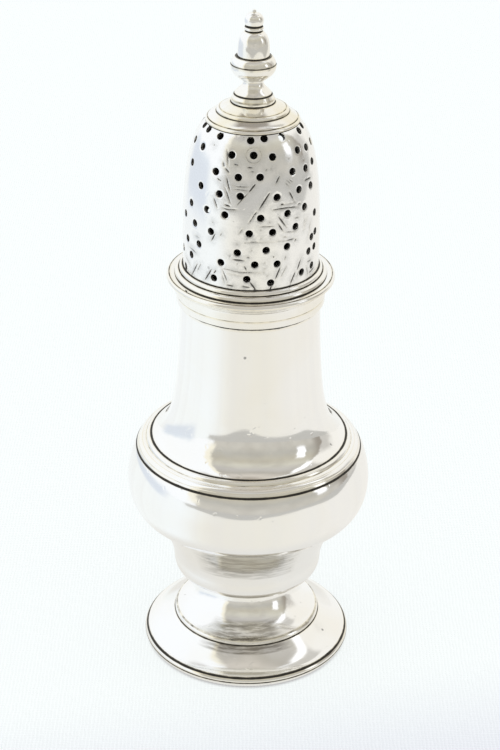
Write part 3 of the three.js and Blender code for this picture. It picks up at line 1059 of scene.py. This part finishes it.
# %% Picks of the strokes
stroke_pixels = [
    (0.7, [(216.5, 233.5), (212.5, 241)]), (0.35, [(223.5, 232.5), (221.5, 236)]),
    (0.5, [(244.5, 228.5), (240.5, 233.5)]), (0.6, [(196.5, 235.5), (200.5, 238)]),
    (0.7, [(190.5, 246.5), (197.5, 253)]), (0.35, [(187, 256), (192.5, 267)]),
    (0.85, [(198.5, 264), (192, 277)]), (0.4, [(202, 264), (198, 272)]),
    (0.9, [(213, 269), (206.5, 279.5)]), (0.8, [(217.5, 270), (215, 273.5)]),
    (0.5, [(223.5, 269), (229, 283)]), (0.4, [(223.5, 275), (226, 284)]),
    (0.6, [(224.5, 268.5), (241, 272.5), (262, 273)]), (0.35, [(229, 273.5), (245, 276.5)]),
    (0.7, [(245.5, 266), (248, 271)]), (0.3, [(248, 271), (251.5, 275.5)]), (1, [(251, 282), (257, 290)]),
    (0.8, [(228, 285), (236, 286.5)]), (0.8, [(242.5, 286.5), (251, 287.5)]),
    (0.7, [(233.5, 259.5), (246, 261)]), (0.6, [(248, 257.5), (251, 257.5)]),
    (0.8, [(250, 242.5), (260, 242.5)]), (0.35, [(246, 243), (275, 242)]),
    (0.5, [(256, 215), (250, 223.5)]), (0.8, [(280, 217), (288, 227.5)]),
    (0.7, [(279, 223.5), (285, 232)]), (0.35, [(285, 232.3), (298, 231.5)]),
    (0.5, [(261, 226.8), (275, 226.5)]), (0.5, [(284, 237), (288, 237)]),
    (0.25, [(277, 241.5), (288, 241)]), (0.5, [(288, 240.5), (296, 238.5)]),
    (0.6, [(297.5, 238.5), (296, 241.5)]), (0.4, [(287, 256), (286, 260)]),
    (1, [(281.5, 267.5), (276.5, 279.5)]), (0.4, [(288, 266), (282, 277)]),
    (0.8, [(302.5, 258), (298.5, 270)]),
    (0.5, [(301.5, 268), (297.5, 278)]), (0.9, [(296.5, 272), (291.5, 284.5)]),
    (0.7, [(312.5, 259.5), (308.5, 262)]), (0.6, [(307.5, 266), (309.5, 276)]),
    (0.8, [(315.5, 267), (310, 273.5)]), (0.9, [(273, 286), (271, 290)]), (0.25, [(305, 225), (306, 218)]),
    (0.25, [(308, 218), (305, 230)]), (0.25, [(311.5, 222), (309.5, 240)]),
    (0.6, [(224.5, 162), (225.5, 166)]),
    (0.6, [(226.5, 168), (230.5, 173)]), (0.8, [(228, 178), (229.5, 185), (231.5, 192)]),
    (0.8, [(226.5, 188), (231.5, 203)]), (0.8, [(215, 197.5), (218.5, 208)]),
    (0.6, [(218.5, 178.5), (222.5, 181)]), (0.7, [(235, 164), (240, 165.5)]),
    (0.6, [(249, 167.5), (254, 168)]),
    (0.5, [(252, 171.5), (256, 172)]), (0.5, [(234, 185), (240, 187), (250, 187)]),
    (0.45, [(234, 189), (250, 191)]), (0.9, [(226, 204.5), (231, 206.5)]),
    (0.6, [(222.5, 207.5), (229, 209.5), (239, 210)]), (0.9, [(256.5, 184.5), (250.5, 192)]),
    (0.4, [(250.5, 192), (238.5, 205)]), (0.5, [(228.5, 150), (229.5, 166)]), (0.9, [(281, 176), (277, 184)]),
    (1, [(271, 193), (260.5, 209.5)]), (0.7, [(258, 212), (253, 219)]), (0.5, [(268.5, 169), (267, 171)]),
    (0.9, [(282, 204.5), (285.5, 204.3)]), (0.3, [(285.5, 204.3), (296, 202.5)]),
    (0.8, [(274, 210), (287, 208), (300, 206.5)]), (0.9, [(290.5, 191.5), (295, 200)]),
    (0.4, [(295, 200), (297, 203)]), (0.8, [(299, 204.5), (302, 203)]), (0.8, [(306, 180.5), (312, 177.5)]),
    (0.5, [(303.5, 160.5), (306, 159.5)]), (0.4, [(296, 218), (300, 217)]), (0.4, [(288, 180), (292, 184)]),
    (0.35, [(290, 179), (294, 182)]), (0.35, [(287, 183), (291, 187)]),
]
dot_pixels = [
    (290, 159), (272.5, 168.7), (225.3, 166), (242, 186.3), (214, 222.5), (245.5, 137.5), (253, 250.5),
    (275, 257), (265, 272.5), (262.5, 238.5), (271, 222), (272, 239), (268.5, 276), (262, 230), (248, 239),
    (238.5, 244), (238.5, 264), (266, 263), (266, 269), (231, 256), (215.5, 145), (276, 288),
]
print(len(stroke_pixels), "strokes and", len(dot_pixels), "dots are picked")

# %% [markdown]
# Each stroke becomes a row of close places on the dome that remember how deep the graver went: full in the
# middle of a stroke, fading at its ends. One hole was plugged and drilled again long ago, which left a faint
# ring round it. A tree of all these places finds the cut nearest to a point of the skin.

# %% Chased strokes
stroke_half_width = 0.26 * mm
stroke_depth = 0.11 * mm
stroke_gap_pixels = 0.6
dot_strength = 0.5
fading_share = 0.3
strength_at_ends = 0.35
plug_pixel = (255, 155.5)
plug_radius = 1.65 * mm
plug_strength = 0.22
plug_steps = 48


def along_pixels(run):
    """Pixels at even gaps along a run of straight stretches, each with its share of the whole way."""
    lengths = [math.dist(before, after) for before, after in zip(run, run[1:])]
    whole = sum(lengths)
    passed = 0.0
    for (before, after), length in zip(zip(run, run[1:]), lengths):
        steps = max(1, round(length / stroke_gap_pixels))
        for step in range(steps + 1):
            share = step / steps
            pixel = (before[0] + (after[0] - before[0]) * share, before[1] + (after[1] - before[1]) * share)
            yield pixel, (passed + length * share) / whole
        passed += length


cut_places = []
for strength, run in stroke_pixels:
    for pixel, way in along_pixels(run):
        hit = on_the_dome(pixel)
        if hit:
            fade = min(1, way / fading_share, (1 - way) / fading_share)
            cut_places.append((hit[0], strength * (strength_at_ends + (1 - strength_at_ends) * fade)))
for pixel in dot_pixels:
    hit = on_the_dome(pixel)
    if hit:
        cut_places.append((hit[0], dot_strength))
cut_places += [(half_turn @ place, strength) for place, strength in cut_places]
plug_middle, plug_normal = on_the_dome(plug_pixel)
plug_side = plug_normal.orthogonal().normalized()
for step in range(plug_steps):
    turn = Matrix.Rotation(full_turn * step / plug_steps, 3, plug_normal)
    beside_plug = plug_middle + turn @ plug_side * plug_radius
    cut_places.append((skin_tree.find_nearest(beside_plug)[0], plug_strength))
cuts = kdtree.KDTree(len(cut_places))
for index, (place, strength) in enumerate(cut_places):
    cuts.insert(place, index)
cuts.balance()
print("strokes, dots and the ring make", len(cut_places), "cut places")

# %% [markdown]
# Before anything is cut, the cells near a hole or a stroke are divided once more. The holes are then opened
# by deleting the cells inside each drill's circle and drawing the ragged edge onto it, as a reamer would.

# %% Drilling
hole_radius = 0.85 * mm
drill_margin = 0.45 * mm
stroke_margin = 1.9
sheet_end_margin = 0.2 * mm
drills = kdtree.KDTree(len(drilled))
for index, (place, normal) in enumerate(drilled):
    drills.insert(place, index)
drills.balance()


def drill_near(place):
    """The nearest drill's place and normal, and how far off its axis the place lies."""
    _, index, _ = drills.find(place)
    middle, normal = drilled[index]
    offset = place - middle
    sideways = offset - normal * offset.dot(normal)
    return middle, normal, offset, sideways


def near_a_mark(face):
    middle = face.calc_center_median()
    to_hole = drill_near(middle)[3].length
    to_cut = cuts.find(middle)[2]
    return to_hole < hole_radius + drill_margin or to_cut < stroke_half_width * stroke_margin


marked = [face for face in dome.faces if near_a_mark(face)]
bmesh.ops.subdivide_edges(
    dome, edges=list({edge for face in marked for edge in face.edges}), cuts=1, use_grid_fill=True)
inside_a_drill = [
    face for face in dome.faces if drill_near(face.calc_center_median())[3].length < hole_radius
]
bmesh.ops.delete(dome, geom=inside_a_drill, context="FACES")
lowest_rim = dome_foot_height + sheet_end_margin
highest_rim = dome_top_height - sheet_end_margin
rim_verts = [vert for vert in dome.verts if vert.is_boundary and lowest_rim < vert.co.z < highest_rim]
for vert in rim_verts:
    middle, normal, offset, sideways = drill_near(vert.co)
    vert.co = middle + normal * offset.dot(normal) + sideways.normalized() * hole_radius
print("refined", len(marked), "cells; hole rims have", len(rim_verts), "points")

# %% [markdown]
# Now the sheet gets its thickness, inwards. Its two ends are squared to the seats that the wires and the
# crown rest on, and the strokes are pressed into the outer side, each with a slight burr beside it.

# %% Thickness and cuts
inside_dirt = 0.9
foot_seat_gap = 0.05 * mm
crown_seat_depth = 0.7 * mm
crown_seat_reach = 0.25 * mm
seat_radius = crown_radius - cover_wall

outer_verts = set(dome.verts)
outer_normals = {vert: vert.normal.copy() for vert in dome.verts}
bmesh.ops.solidify(dome, geom=dome.faces[:], thickness=cover_wall)
inner_verts = [vert for vert in dome.verts if vert not in outer_verts]
print("the wall added", len(inner_verts), "points")
for vert in inner_verts:
    vert[dirt_layer] = inside_dirt
    if vert.co.z < dome_foot_height + foot_seat_gap:
        vert.co.z = dome_foot_height
    beside_the_seat = vert.co.xy.length < seat_radius + crown_seat_reach
    if beside_the_seat and vert.co.z > dome_top_height - crown_seat_depth:
        vert.co = (vert.co.xy.normalized() * seat_radius).to_3d()
        vert.co.z = dome_top_height

rim_wear = 0.07 * mm
rim_width = 0.05 * mm
cut_roundness = 1.3
cut_oxide_and_shade_least = 0.3
cut_oxide_and_shade_gain = 0.65
burr_width = 0.8
burr_share = 0.12
scuff_least = 0.35
scuff_reach = 1.7 * mm
foot_shadow = 0.35 * mm
foot_shadow_fade = 0.6
for vert in outer_verts:
    normal = outer_normals[vert]
    _, index, gap = cuts.find(vert.co)
    strength = cut_places[index][1]
    across = gap / stroke_half_width
    if across < 1:
        depth = strength * math.cos(across * math.pi / 2) ** cut_roundness
        vert.co -= normal * stroke_depth * depth
        # Inside a cut the dirt attribute holds its oxide and painted shade, darkest along the middle of the
        # cut.
        vert[dirt_layer] = min(1, cut_oxide_and_shade_least + cut_oxide_and_shade_gain * strength) * (1 - across ** 2)
    elif across < 1 + burr_width:
        burr = strength * math.sin((across - 1) / burr_width * math.pi)
        vert.co += normal * stroke_depth * burr_share * burr
    scuffed = scuff_least + (1 - scuff_least) * strength
    vert[dull_layer] = scuffed * max(0, 1 - gap / scuff_reach)
    if drill_near(vert.co)[3].length - hole_radius < rim_width:
        vert.co -= normal * rim_wear
    above_foot = vert.co.z - dome_foot_height
    if above_foot < foot_shadow:
        vert[dirt_layer] = max(vert[dirt_layer], 1 - foot_shadow_fade * above_foot / foot_shadow)
finished("dome_sheet", dome, dome_finish, "pierced_dome", "cover")

# %% [markdown]
# The crown closes the dome: a stepped cap whose small ledges were cut with a turning tool. It is a closed
# ring with a hole in the middle for the tang of the knob.

# %% Crown cap
crown_bottom = bottom_of("crown")
knob_seat = top_of("crown")
knob_base_radius = 4.8 * mm
tang_hole = 1.8 * mm
band_of_crown = (crown_radius - 0.5 * mm, crown_bottom + 0.9 * mm)
ledge_of_crown = (crown_radius - 2.4 * mm, crown_bottom + 2.2 * mm)
bead_of_crown = (crown_radius - 3.1 * mm, crown_bottom + 3 * mm)
crown_bulge = 0.25 * mm
lower_slope_handles = [(0.2, 0.45), (0.85, 0.8)]
upper_slope_handles = [(0.3, 0.35), (0.7, 0.75)]
inside_of_crown = [
    (knob_base_radius - 0.6 * mm, knob_seat - cover_wall),
    (crown_radius - 3.4 * mm, crown_bottom + 2.1 * mm),
    (crown_radius - 1.3 * mm, crown_bottom + 0.7 * mm),
]

crown = Outline(crown_radius, crown_bottom, dirt=0.9, soft=hair_edge)
crown.bead(*band_of_crown, crown_bulge, dirt=0.6, soft=fine_edge)
crown.sweep(*ledge_of_crown, lower_slope_handles, steps=20, dirt=0.7, soft=fine_edge)
crown.bead(*bead_of_crown, crown_bulge, dirt=0.5, soft=hair_edge)
crown.sweep(knob_base_radius, knob_seat, upper_slope_handles, steps=16, dirt=0.8, soft=hair_edge)
crown.line(tang_hole, knob_seat, soft=hair_edge)
crown.line(tang_hole, knob_seat - cover_wall, soft=hair_edge)
for place in inside_of_crown:
    crown.line(*place)
crown.line(crown_radius - cover_wall, crown_bottom, soft=hair_edge)
finished("crown_cap", crown.turned(cover_sides), crown_finish, "crown", "cover")

# %% [markdown]
# The knob is a solid casting, cleaned up in the lathe: base, bell, waist, cushion, acorn, collar and a ball
# with a tiny tip. Its tang goes down through the crown and is riveted inside. The outline starts and ends on
# the axis.

# %% Finial casting
finial_top = top_of("finial")
tang_bottom = bottom_of("finial")
tang_radius = 1.5 * mm
bell_radius = 4.2 * mm
waist_of_knob_radius = 2.2 * mm
cushion_radius = 5 * mm
cushion_line_radius = 4.93 * mm
acorn_ledge_radius = 3.9 * mm
acorn_radius = 3.5 * mm
acorn_tip_radius = 1.7 * mm
collar_radius = 1.8 * mm
ball_radius = 2.1 * mm
tip_radius = 0.45 * mm
tip_edge = 0.18 * mm
bell_bottom = knob_seat + 0.8 * mm
bell_top = bell_bottom + 1.1 * mm
waist_of_knob = bell_top + 2.7 * mm
cushion_height = waist_of_knob + 3.4 * mm
acorn_bottom = cushion_height + 2.3 * mm
acorn_top = acorn_bottom + 5.6 * mm
collar_top = acorn_top + 1.1 * mm
ball_middle = collar_top + 1.2 * mm
ball_top = ball_middle + 1.7 * mm
cushion_edge = cushion_height + 0.55 * mm
cushion_line = cushion_height + 0.65 * mm
bell_handles = [(0.3, 0.35), (1, 0.6)]
cushion_handles = [(0.25, 0.2), (1, 0.5)]
ledge_handles = [(0, 0.3), (0.5, 0.9)]
acorn_handles = [(-0.08, 0.55), (0.2, 0.9)]
lower_ball_handles = [(0.6, 0.25), (1, 0.6)]
upper_ball_handles = [(0, 0.5), (0.4, 0.95)]
knob_sides = 96

knob = Outline(0, tang_bottom)
knob.line(tang_radius, tang_bottom, soft=worn_edge)
knob.line(tang_radius, knob_seat)
knob.line(knob_base_radius, knob_seat, dirt=0.9, soft=fine_edge)
knob.line(knob_base_radius, bell_bottom, dirt=0.4, soft=round_edge)
knob.line(bell_radius, bell_top, dirt=0.8, soft=round_edge)
knob.sweep(waist_of_knob_radius, waist_of_knob, bell_handles, steps=18)
knob.sweep(cushion_radius, cushion_height, cushion_handles, steps=24)
knob.line(cushion_radius, cushion_edge)
knob.line(cushion_line_radius, cushion_line, dirt=0.65)
knob.sweep(acorn_ledge_radius, acorn_bottom, ledge_handles, steps=16, dirt=0.6, soft=light_edge)
knob.line(acorn_radius, acorn_bottom, dirt=0.85, soft=light_edge)
knob.sweep(acorn_tip_radius, acorn_top, acorn_handles, steps=24, dirt=1.0, soft=fine_edge)
knob.bead(collar_radius, collar_top, bulge=0.4 * mm, dirt=1.0, soft=fine_edge)
knob.sweep(ball_radius, ball_middle, lower_ball_handles, steps=12)
knob.sweep(tip_radius, ball_top, upper_ball_handles, steps=14, dirt=0.2, soft=hair_edge)
knob.line(tip_radius, finial_top, soft=tip_edge)
knob.line(0, finial_top)
casting = knob.turned(knob_sides, closed=False)
finished("finial_casting", casting, cast_finish, "finial", "cover")

# %% [markdown]
# The caster stands on white cloth. The floor keeps its shadow, and the part of it that glows for the camera
# and for reflections keeps it pale without putting more light on the silver. Silver shows the cloth warm in
# front, cool and bright on the left, and ending some way off in front, where the grey of the room begins.

# %% Tones of the cloth
floor_size = 6.0
cloth_white = (0.955, 0.975, 0.985, 1)
cloth_roughness = 0.9
cloth_glow = (1.10, 1.155, 1.15, 1)
cloth_glow_shaded_near = (0.87, 0.895, 0.99, 1)
cloth_in_front = (0.93, 0.905, 0.815, 1)
cloth_on_left = (1.05, 1.10, 1.12, 1)
cloth_far_left = (0.80, 0.87, 0.97, 1)
cloth_on_right = (0.975, 0.955, 0.90, 1)
cloth_shaded_by_the_foot = (0.88, 0.87, 0.83, 1)
past_the_cloth = (0.55, 0.54, 0.505, 1)
cloth_behind = (1.01, 1.03, 1.01, 1)
cloth_band = (0.84, 0.83, 0.83, 1)
contact_shade = (0.46, 0.45, 0.46, 1)
glow_for_camera = 0.65
glow_for_silver = 0.85


def in_radians(*degrees):
    return [math.radians(angle) for angle in degrees]


def between(tree, value, low, high, softness):
    """A mask that is 1 between low and high, with soft ends."""
    above = ramp(tree, value, low - softness, low + softness)
    below = ramp(tree, value, high + softness, high - softness)
    return maths(tree, "MULTIPLY", above, below)


def unrest_at(tree, vector, scale, detail):
    """Noise that swings to both sides of zero."""
    return maths(tree, "SUBTRACT", noise_at(tree, vector, scale, detail=detail), 0.5)


print("cloth glows by", glow_for_camera, "for the camera and by", glow_for_silver, "for the silver")

# %% [markdown]
# The weave is two crossed sets of threads. A wave texture of scale 1 has waves 0.314 m long, so its scale
# here is that length over the pitch of the threads. Seen by the camera, the cloth carries painted shade: it
# is a little darker and bluer near the lens, and a painted contact shadow lies where the foot stands on it.

# %% Weave and the cloth that the camera sees
thread_pitch = 0.85 * mm
wave_at_scale_one = 0.314
weave_unrest = 3.0
weave_depth = 0.3 * mm
near_front = -18 * mm
near_camera = -75 * mm
near_slant = 0.2
far_from_near, within_near = 0.4, 0.2
contact_middle = sole_radius
contact_reach = 1.5 * mm


def woven(tree, places):
    """The relief of the weave as a normal."""
    threads = []
    for direction in ("X", "Y"):
        thread = add_node(tree, "ShaderNodeTexWave", bands_direction=direction)
        thread.inputs["Scale"].default_value = wave_at_scale_one / thread_pitch
        thread.inputs["Distortion"].default_value = weave_unrest
        thread.inputs["Detail"].default_value = 2.0
        tree.links.new(places, thread.inputs["Vector"])
        threads.append(thread.outputs["Fac"])
    bump = add_node(tree, "ShaderNodeBump")
    bump.inputs["Distance"].default_value = weave_depth
    tree.links.new(maths(tree, "MULTIPLY", *threads), bump.inputs["Height"])
    return bump.outputs["Normal"]


def cloth_for_camera(tree, x, y, span):
    """The glow of the cloth in the picture itself, with painted shade near the lens and a painted contact
    shadow at the foot.
    """
    slanted = maths(tree, "MULTIPLY_ADD", x, -near_slant, y)
    nearness = maths(tree, "MULTIPLY", ramp(tree, slanted, near_front, near_camera),
                     ramp(tree, span, far_from_near, within_near))
    contact = ramp(tree, span, contact_middle + contact_reach, contact_middle)
    return blended(tree, contact, blended(tree, nearness, cloth_glow, cloth_glow_shaded_near), contact_shade)


print("threads are", round(thread_pitch / mm, 2), "mm apart")

# %% [markdown]
# The silver mirrors the same cloth with more difference in it: warm in front, cool and bright on the left,
# with painted shadow near the foot, broken by soft bands, and at its end the grey of the room begins along an
# uneven edge. Two angles say where a tone begins and where it is full. Three angles say where it begins,
# where it ends and how soft both are.

# %% Cloth that the silver mirrors
unrest_scale = 4.0
unrest_share = 0.5
right_turns = in_radians(15, 75)
left_turns = in_radians(-18, -66)
back_turns = in_radians(135, 178)
far_left_turns = in_radians(-138, -80, 7)
room_turns = in_radians(-54, 124, 3)
far_begins, far_is_full = 0.27, 0.42
foot_shade_ends, foot_shade_is_full = 62 * mm, 32 * mm
band_scale = 4.0
band_edge, band_middle = 0.42, 0.68
band_strength = 0.22
cloth_end = 0.55
cloth_end_softness = 0.008
fold_turn = math.radians(40)
folds = 3.7
fold_depth = 0.3


def behind_mask(tree, turn):
    return ramp(tree, maths(tree, "ABSOLUTE", turn), *back_turns)


def cloth_for_silver(tree, places, turn, span):
    """The glow of the cloth in reflections, by the turn round the axis and the distance from it."""
    ragged = maths(tree, "MULTIPLY", unrest_at(tree, places, unrest_scale, detail=1.0), unrest_share)
    uneven_turn = maths(tree, "ADD", turn, ragged)
    mirrored = blended(tree, ramp(tree, uneven_turn, *right_turns), cloth_in_front, cloth_on_right)
    mirrored = blended(tree, ramp(tree, uneven_turn, *left_turns), mirrored, cloth_on_left)
    mirrored = blended(tree, behind_mask(tree, turn), mirrored, cloth_behind)
    round_the_foot = put_together(tree, maths(tree, "SINE", turn), maths(tree, "COSINE", turn))
    bands = ramp(tree, noise_at(tree, round_the_foot, band_scale, detail=3.0), band_edge, band_middle)
    mirrored = blended(tree, maths(tree, "MULTIPLY", bands, band_strength), mirrored, cloth_band)
    far = ramp(tree, span, far_begins, far_is_full)
    far_left = maths(tree, "MULTIPLY", far, between(tree, turn, *far_left_turns))
    mirrored = blended(tree, far_left, mirrored, cloth_far_left)
    # Painted shadow on the cloth near the foot, as the silver mirrors it.
    shade_by_the_foot = ramp(tree, span, foot_shade_ends, foot_shade_is_full)
    mirrored = blended(tree, shade_by_the_foot, mirrored, cloth_shaded_by_the_foot)
    fold = maths(tree, "COSINE", maths(tree, "MULTIPLY", maths(tree, "SUBTRACT", turn, fold_turn), folds))
    reach = maths(tree, "DIVIDE", span, maths(tree, "MULTIPLY_ADD", fold, fold_depth, 1.0))
    past = ramp(tree, reach, cloth_end - cloth_end_softness, cloth_end + cloth_end_softness)
    past = maths(tree, "MULTIPLY", past, between(tree, uneven_turn, *room_turns))
    return blended(tree, past, mirrored, past_the_cloth)


print("mirrored cloth ends", cloth_end, "m away, in", folds, "folds")


# %% [markdown]
# One material holds both tones and asks what kind of ray looks at it. The rest of its light is that of a
# plain rough white, which takes the shadow of the caster.

# %% Floor
def cloth_finish():
    material = bpy.data.materials.new("white_cloth")
    material.use_nodes = True
    tree = material.node_tree
    shader = tree.nodes["Principled BSDF"]
    shader.inputs["Roughness"].default_value = cloth_roughness
    shader.inputs["Base Color"].default_value = cloth_white
    places = object_places(tree)
    x, y, _ = taken_apart(tree, places)
    tree.links.new(woven(tree, places), shader.inputs["Normal"])
    length = add_node(tree, "ShaderNodeVectorMath", operation="LENGTH")
    tree.links.new(places, length.inputs[0])
    span = length.outputs["Value"]
    shown = cloth_for_camera(tree, x, y, span)
    mirrored = cloth_for_silver(tree, places, turn_from_front(tree, x, y), span)
    ray = add_node(tree, "ShaderNodeLightPath")
    reflected = maths(tree, "MAXIMUM", ray.outputs["Is Glossy Ray"], ray.outputs["Is Transmission Ray"])
    glow = add_node(tree, "ShaderNodeEmission")
    tree.links.new(blended(tree, reflected, shown, mirrored), glow.inputs["Color"])
    share = maths(tree, "ADD", maths(tree, "MULTIPLY", ray.outputs["Is Camera Ray"], glow_for_camera),
                  maths(tree, "MULTIPLY", reflected, glow_for_silver))
    mix = add_node(tree, "ShaderNodeMixShader")
    tree.links.new(share, mix.inputs["Fac"])
    tree.links.new(shader.outputs["BSDF"], mix.inputs[1])
    tree.links.new(glow.outputs["Emission"], mix.inputs[2])
    tree.links.new(mix.outputs["Shader"], tree.nodes["Material Output"].inputs["Surface"])
    return material


floor_shape = bmesh.new()
bmesh.ops.create_grid(floor_shape, x_segments=1, y_segments=1, size=floor_size / 2)
floor_mesh = bpy.data.meshes.new("floor")
floor_shape.to_mesh(floor_mesh)
floor_shape.free()
floor_mesh.materials.append(cloth_finish())
floor = bpy.data.objects.new("floor", floor_mesh)
bpy.context.scene.collection.objects.link(floor)
print("the floor is", floor_size, "m across")

# %% [markdown]
# Polished silver shows only what stands round it, so the room is half of its finish. The world gives the
# room by direction: a grey room in front and to the right, from the end of the cloth up over the ceiling, a
# bright wall on the left, a tall narrow window and a skylight on the right, and a darker ceiling behind. Only
# reflections see it. Everything else is lit by plain soft white.
#
# A patch of the room is a span of turns from the front and a span of rises above level. Each is given in
# degrees as its beginning, its end and the softness of both. The grey room and its golden fringe have sides
# that lean a little.

# %% Tones and patches of the room
room_tones = [
    (-10, (0.61, 0.595, 0.555)), (4, (0.66, 0.64, 0.58)), (14, (0.545, 0.535, 0.49)),
    (30, (0.59, 0.56, 0.47)), (42, (0.70, 0.685, 0.60)), (56, (0.60, 0.585, 0.56)),
    (66, (0.52, 0.50, 0.455)), (76, (0.73, 0.69, 0.63)), (89, (0.48, 0.44, 0.385)),
]
bright_left = (1.04, 1.07, 1.10, 1)
cool_left = (0.80, 0.87, 0.95, 1)
gold_fringe = (1.0, 0.965, 0.83, 1)
grey_right = (0.64, 0.625, 0.59, 1)
cream_right = (0.98, 0.965, 0.92, 1)
wall_behind = (1.0, 1.01, 1.0, 1)
dark_behind = (0.36, 0.33, 0.29, 1)
room_shade = (0.40, 0.375, 0.33, 1)
window_white = (1.28, 1.30, 1.34, 1)
soft_light = (0.85, 0.85, 0.85, 1)
background_white = (1.0, 1.0, 1.0, 1)

cream_wall_turns = (100, 200, 4)
cool_wall_turns, cool_wall_rises = (-138, -80, 8), (-40, 3, 4)
grey_wall_turns, grey_wall_rises = (84, 124, 8), (-40, 24, 8)
high_right_turns, high_right_rises = (103, 128, 3), (46, 80, 4)
window_turns, window_rises = (68, 80, 2), (8, 30, 4)
skylight_turns, skylight_rises = (88, 102, 2), (42, 63, 3)
room_sides = (-50, 108, 2)
fringe_sides, fringe_rises = (-54, -45, 3), (2, 74, 4)
ceiling_rises = (74, 82)
dark_rises = (64, 95, 5)
dark_sideways = (0.55, 0.35)
dark_from_front = (0.0, 0.2)
room_lean = 0.2
room_unrest_scale = 4.5
turn_unrest = 0.3
rise_unrest = 0.2
shade_scale = 3.2
shade_edge, shade_middle = 0.35, 0.75
shade_strength = 0.3
behind_begins, behind_is_full = -0.05, 0.25


def room_ramp(tree, elevation):
    """The tones of the grey room from below the horizon up to the ceiling."""
    lowest, highest = in_radians(room_tones[0][0], room_tones[-1][0])
    made = add_node(tree, "ShaderNodeValToRGB")
    tree.links.new(ramp(tree, elevation, lowest, highest, smooth=False), made.inputs["Fac"])
    stops = made.color_ramp.elements
    while len(stops) < len(room_tones):
        stops.new(0.5)
    for stop, (degrees, tone) in zip(stops, room_tones):
        stop.position = (math.radians(degrees) - lowest) / (highest - lowest)
        stop.color = (*tone, 1)
    return made.outputs["Color"]


print("room has", len(room_tones), "tones between the cloth and the ceiling")


# %% [markdown]
# The studio lays the patches over each other, from the walls to the two lights. A noise unsettles turn and
# rise a little first, so that no border in the silver is a ruled line.

# %% Studio
def studio():
    world = bpy.data.worlds.new("studio")
    bpy.context.scene.world = world
    world.use_nodes = True
    tree = world.node_tree
    background = tree.nodes["Background"]
    direction = add_node(tree, "ShaderNodeTexCoord").outputs["Generated"]
    x, y, z = taken_apart(tree, direction)
    unrest = unrest_at(tree, direction, room_unrest_scale, detail=3.0)
    turn = maths(tree, "ADD", turn_from_front(tree, x, y), maths(tree, "MULTIPLY", unrest, turn_unrest))
    rise = maths(tree, "ADD", maths(tree, "ARCSINE", z), maths(tree, "MULTIPLY", unrest, rise_unrest))

    def within(value, degrees):
        return between(tree, value, *in_radians(*degrees))

    def patch(turns, rises):
        return maths(tree, "MULTIPLY", within(turn, turns), within(rise, rises))

    walls = blended(tree, within(turn, cream_wall_turns), bright_left, cream_right)
    walls = blended(tree, behind_mask(tree, turn), walls, wall_behind)
    walls = blended(tree, patch(cool_wall_turns, cool_wall_rises), walls, cool_left)
    walls = blended(tree, patch(grey_wall_turns, grey_wall_rises), walls, grey_right)

    shade = ramp(tree, noise_at(tree, direction, shade_scale, detail=2.0), shade_edge, shade_middle)
    shade = maths(tree, "MULTIPLY", shade, shade_strength)
    grey_room = blended(tree, shade, room_ramp(tree, rise), room_shade)
    grey_room = blended(tree, ramp(tree, y, behind_begins, behind_is_full), grey_room, dark_behind)
    leaning = maths(tree, "ADD", turn, maths(tree, "MULTIPLY", rise, room_lean))
    ceiling = ramp(tree, rise, *in_radians(*ceiling_rises))
    overhead = maths(tree, "MAXIMUM", within(leaning, room_sides), ceiling)
    tones = blended(tree, overhead, walls, grey_room)

    sideways = ramp(tree, maths(tree, "ABSOLUTE", x), *dark_sideways)
    high_behind = maths(tree, "MULTIPLY", sideways, within(rise, dark_rises))
    high_behind = maths(tree, "MULTIPLY", high_behind, ramp(tree, y, *dark_from_front))
    tones = blended(tree, high_behind, tones, dark_behind)
    fringe = maths(tree, "MULTIPLY", within(leaning, fringe_sides), within(rise, fringe_rises))
    tones = blended(tree, fringe, tones, gold_fringe)
    tones = blended(tree, patch(high_right_turns, high_right_rises), tones, grey_right)
    lights = maths(tree, "MAXIMUM", patch(window_turns, window_rises), patch(skylight_turns, skylight_rises))
    tones = blended(tree, lights, tones, window_white)

    ray = add_node(tree, "ShaderNodeLightPath")
    colour = blended(tree, ray.outputs["Is Glossy Ray"], soft_light, tones)
    shown = blended(tree, ray.outputs["Is Camera Ray"], colour, background_white)
    tree.links.new(shown, background.inputs["Color"])
    return world


print(studio().name, "has", len(bpy.context.scene.world.node_tree.nodes), "nodes")
bpy.context.scene.view_settings.view_transform = "Standard"
